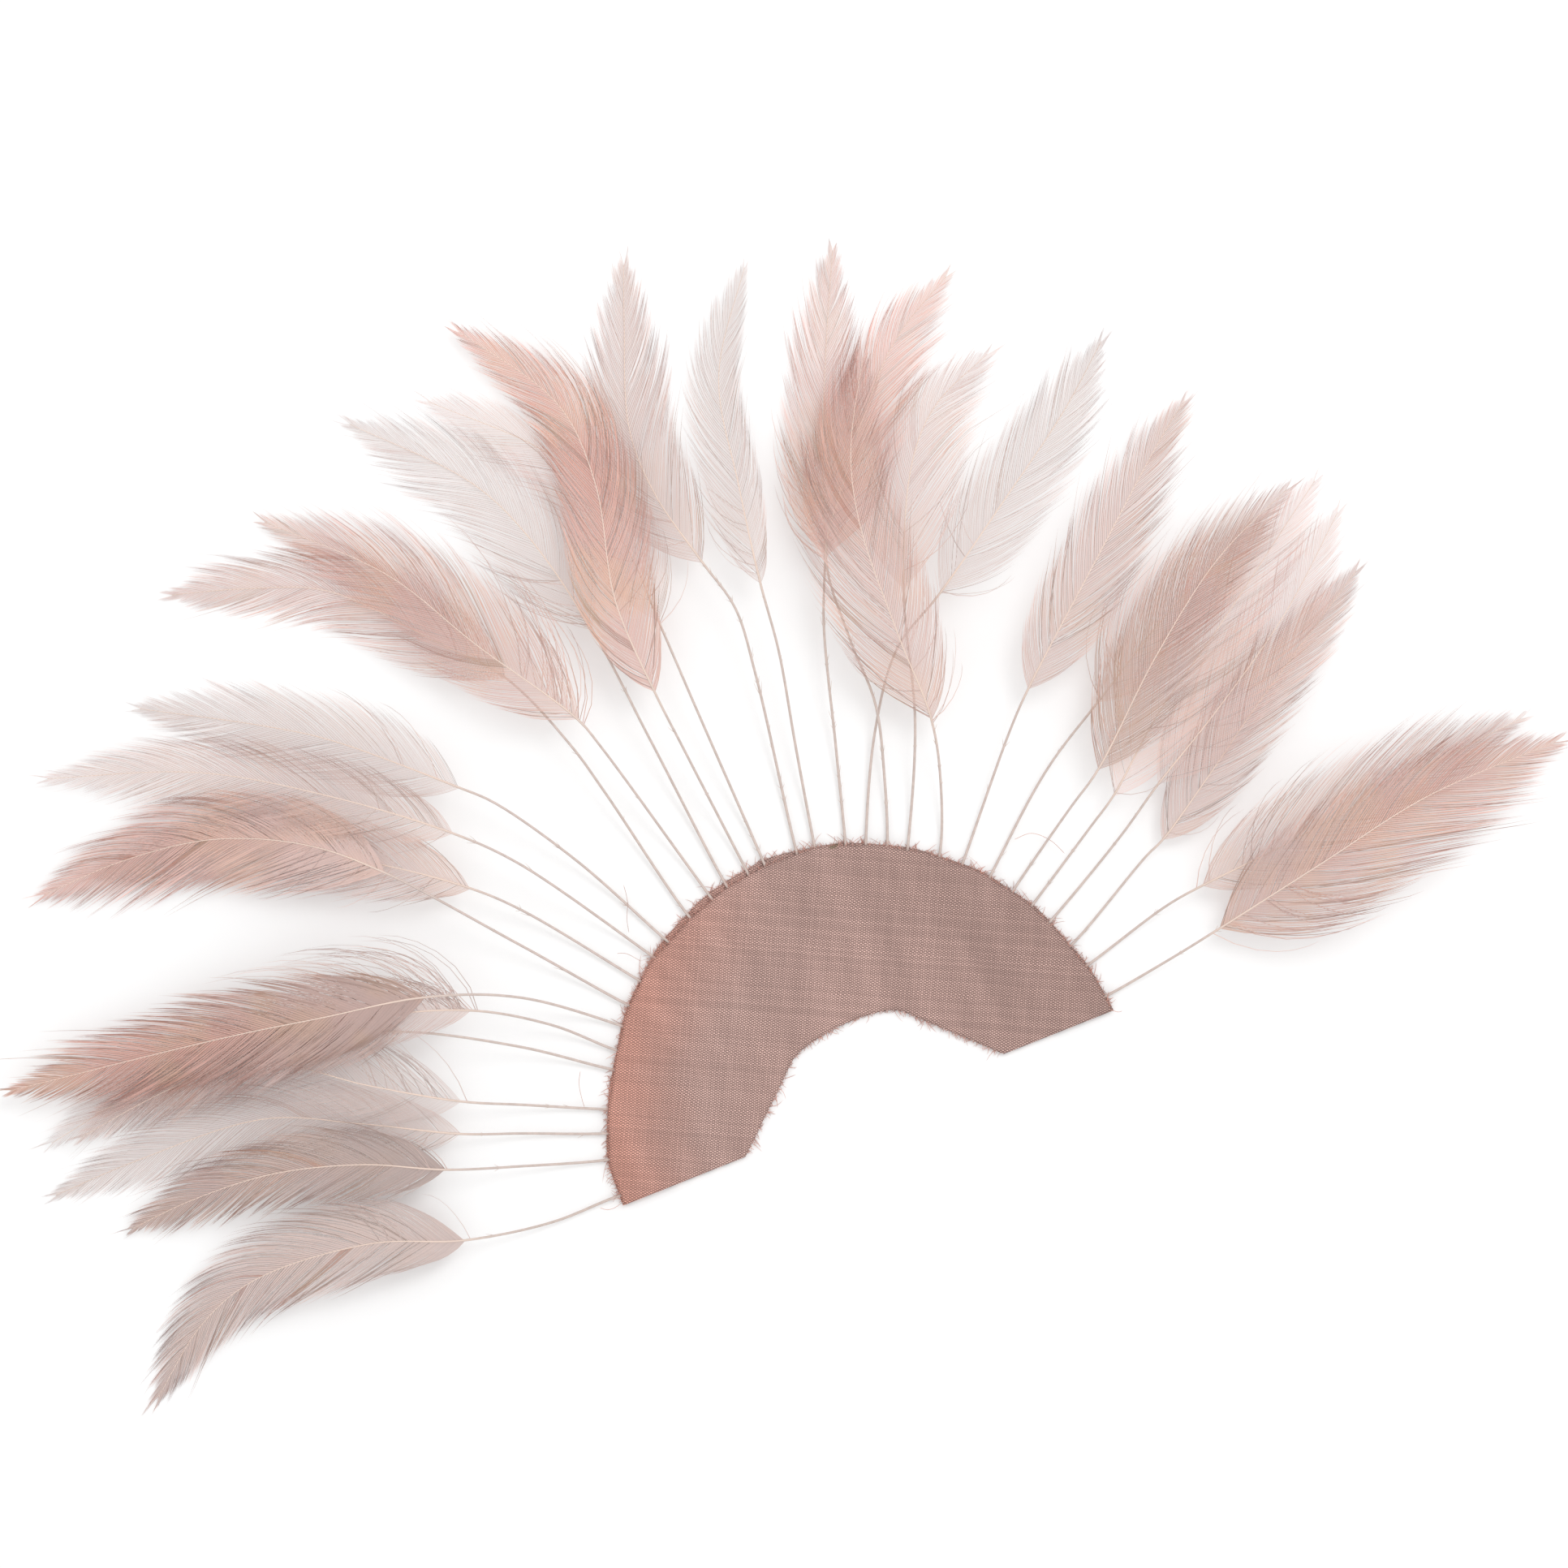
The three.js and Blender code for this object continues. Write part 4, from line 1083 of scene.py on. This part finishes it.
def fibre_material(settings):
    """Single fibres of the cloth, each a little lighter or deeper than the next."""
    material, nodes = new_material("rose_fibre")
    tint = nodes.attribute("barb_tint")
    colour = nodes.mix(tint, tuple(settings.rose), tuple(np.array(settings.coral) * 1.15))
    paler = nodes.range(nodes.attribute("barb_place"), 0.3, 1.0, 0.0, 0.5)
    colour = nodes.mix(paler, colour, tuple(settings.rose))
    roughness = nodes.range(tint, 0.0, 1.0, 0.6, 0.85)
    shader = nodes.add("ShaderNodeBsdfPrincipled", Base_Color=colour, Roughness=roughness)
    finish_material(nodes, shader.outputs[0])
    return material


def floor_material(settings):
    material, nodes = new_material("pale_floor")
    mottle = nodes.range(nodes.noise(nodes.place(), 40, 2), 0.3, 0.7, 0.0, 0.02)
    colour = nodes.mix(mottle, tuple(settings.floor), (0.8, 0.8, 0.8))
    shader = nodes.add("ShaderNodeBsdfPrincipled", Base_Color=colour, Roughness=0.9)
    finish_material(nodes, shader.outputs[0])
    return material


# Operators

def settle(piece, slot, *nodes):
    """Makes a piece ride on the fan and stand for its solids. Its slot is not used."""
    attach(piece, "root")
    if nodes:
        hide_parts(*nodes)


class FAN_OT_cloths(bpy.types.Operator):
    """Makes the back and front cloths and their frayed edges"""
    bl_idname = "hackle_fan.cloths"
    bl_label = "Cloths"

    def execute(self, context):
        settings = context.scene.hackle_fan.cloth
        cloth = cloth_material(settings, weave_group())
        fibre = fibre_material(settings)
        back = make_cloth("cloth_back", back_setback, back_height, cloth)
        back_fray = make_fray("fray_back", back_setback, back_height, 31, settings.fray_count, fibre)
        front = make_cloth("cloth_front", front_setback, front_height, cloth)
        front_fray = make_fray("fray_front", front_setback, front_height, 32, settings.fray_count, fibre)
        settle(back, "cloth", "back_cloth")
        settle(front, "cloth", "front_cloth")
        settle(back_fray, "cloth")
        settle(front_fray, "cloth")
        return {"FINISHED"}


class FAN_OT_feathers(bpy.types.Operator):
    """Makes the feathers, each with its quill, stem, shaft and barbs"""
    bl_idname = "hackle_fan.feathers"
    bl_label = "Feathers"

    def execute(self, context):
        settings = context.scene.hackle_fan.feather
        materials = [barb_material(settings), shaft_material(settings)]
        for number, feather in enumerate(FEATHERS, 1):
            piece = make_feather(number, feather, settings, materials)
            settle(piece, "feather", f"hackle_{number:02d}")
        return {"FINISHED"}


class FAN_OT_stray_threads(bpy.types.Operator):
    """Makes the hairs and threads that lie loose among the stems"""
    bl_idname = "hackle_fan.stray_threads"
    bl_label = "Stray threads"

    def execute(self, context):
        settle(make_stray_threads(bpy.data.materials["rose_fibre"]), "cloth")
        return {"FINISHED"}


class FAN_OT_stage(bpy.types.Operator):
    """Makes the floor, the light and the camera"""
    bl_idname = "hackle_fan.stage"
    bl_label = "Stage"

    def execute(self, context):
        settings = context.scene.hackle_fan.stage
        make_floor(settings)
        make_light(context.scene, settings)
        make_camera(context.scene, settings)
        return {"FINISHED"}


def make_floor(settings):
    bm = bmesh.new()
    bmesh.ops.create_grid(bm, x_segments=8, y_segments=8, size=4)
    mesh = bpy.data.meshes.new("floor")
    bm.to_mesh(mesh)
    bm.free()
    mesh.materials.append(floor_material(settings))
    floor = bpy.data.objects.new("floor", mesh)
    bpy.context.scene.collection.objects.link(floor)


def make_light(scene, settings):
    """Even light from all round and one large lamp at the upper right of the view."""
    world = bpy.data.worlds.new("studio")
    world.use_nodes = True
    background = world.node_tree.nodes["Background"]
    background.inputs["Color"].default_value = (1, 1, 1, 1)
    background.inputs["Strength"].default_value = settings.sky
    scene.world = world
    lamp = bpy.data.lights.new("lamp", "AREA")
    lamp.energy = settings.lamp
    lamp.shape = "DISK"
    lamp.size = 0.5
    hung = bpy.data.objects.new("lamp", lamp)
    scene.collection.objects.link(hung)
    hung.location = (0.55, 0.35, 0.9)
    hung.rotation_euler = hung.location.to_track_quat("Z", "Y").to_euler()
    scene.view_settings.view_transform = "Standard"


def make_camera(scene, settings):
    """A camera straight above, turned so that the fan opens towards the upper left."""
    camera = bpy.data.cameras.new("camera")
    camera.sensor_fit = "HORIZONTAL"
    camera.lens = camera.sensor_width * settings.camera_height / settings.view_width
    camera.clip_start = 0.05
    camera.clip_end = 20
    held = bpy.data.objects.new("camera", camera)
    scene.collection.objects.link(held)
    held.location = settings.view_centre
    held.location.z += settings.camera_height
    held.rotation_euler = (0, 0, settings.view_turn)
    scene.camera = held


class FAN_PT_panel(bpy.types.Panel):
    """The fan's pieces and settings"""
    bl_idname = "FAN_PT_panel"
    bl_label = "Hackle fan"
    bl_space_type = "VIEW_3D"
    bl_region_type = "UI"
    bl_category = "Hackle fan"

    def draw(self, context):
        for operator in OPERATORS:
            self.layout.operator(operator.bl_idname)
        fan = context.scene.hackle_fan
        for group in (fan.cloth, fan.feather, fan.stage):
            box = self.layout.box()
            for name in group.__annotations__:
                box.prop(group, name)


OPERATORS = (FAN_OT_cloths, FAN_OT_feathers, FAN_OT_stray_threads, FAN_OT_stage)
CLASSES = (ClothSettings, FeatherSettings, StageSettings, FanSettings, *OPERATORS, FAN_PT_panel)


def register():
    for item in CLASSES:
        bpy.utils.register_class(item)
    bpy.types.Scene.hackle_fan = PointerProperty(type=FanSettings)


def unregister():
    del bpy.types.Scene.hackle_fan
    for item in reversed(CLASSES):
        bpy.utils.unregister_class(item)


def main():
    register()
    bpy.ops.hackle_fan.cloths()
    bpy.ops.hackle_fan.feathers()
    bpy.ops.hackle_fan.stray_threads()
    bpy.ops.hackle_fan.stage()


if __name__ == "__main__":
    main()
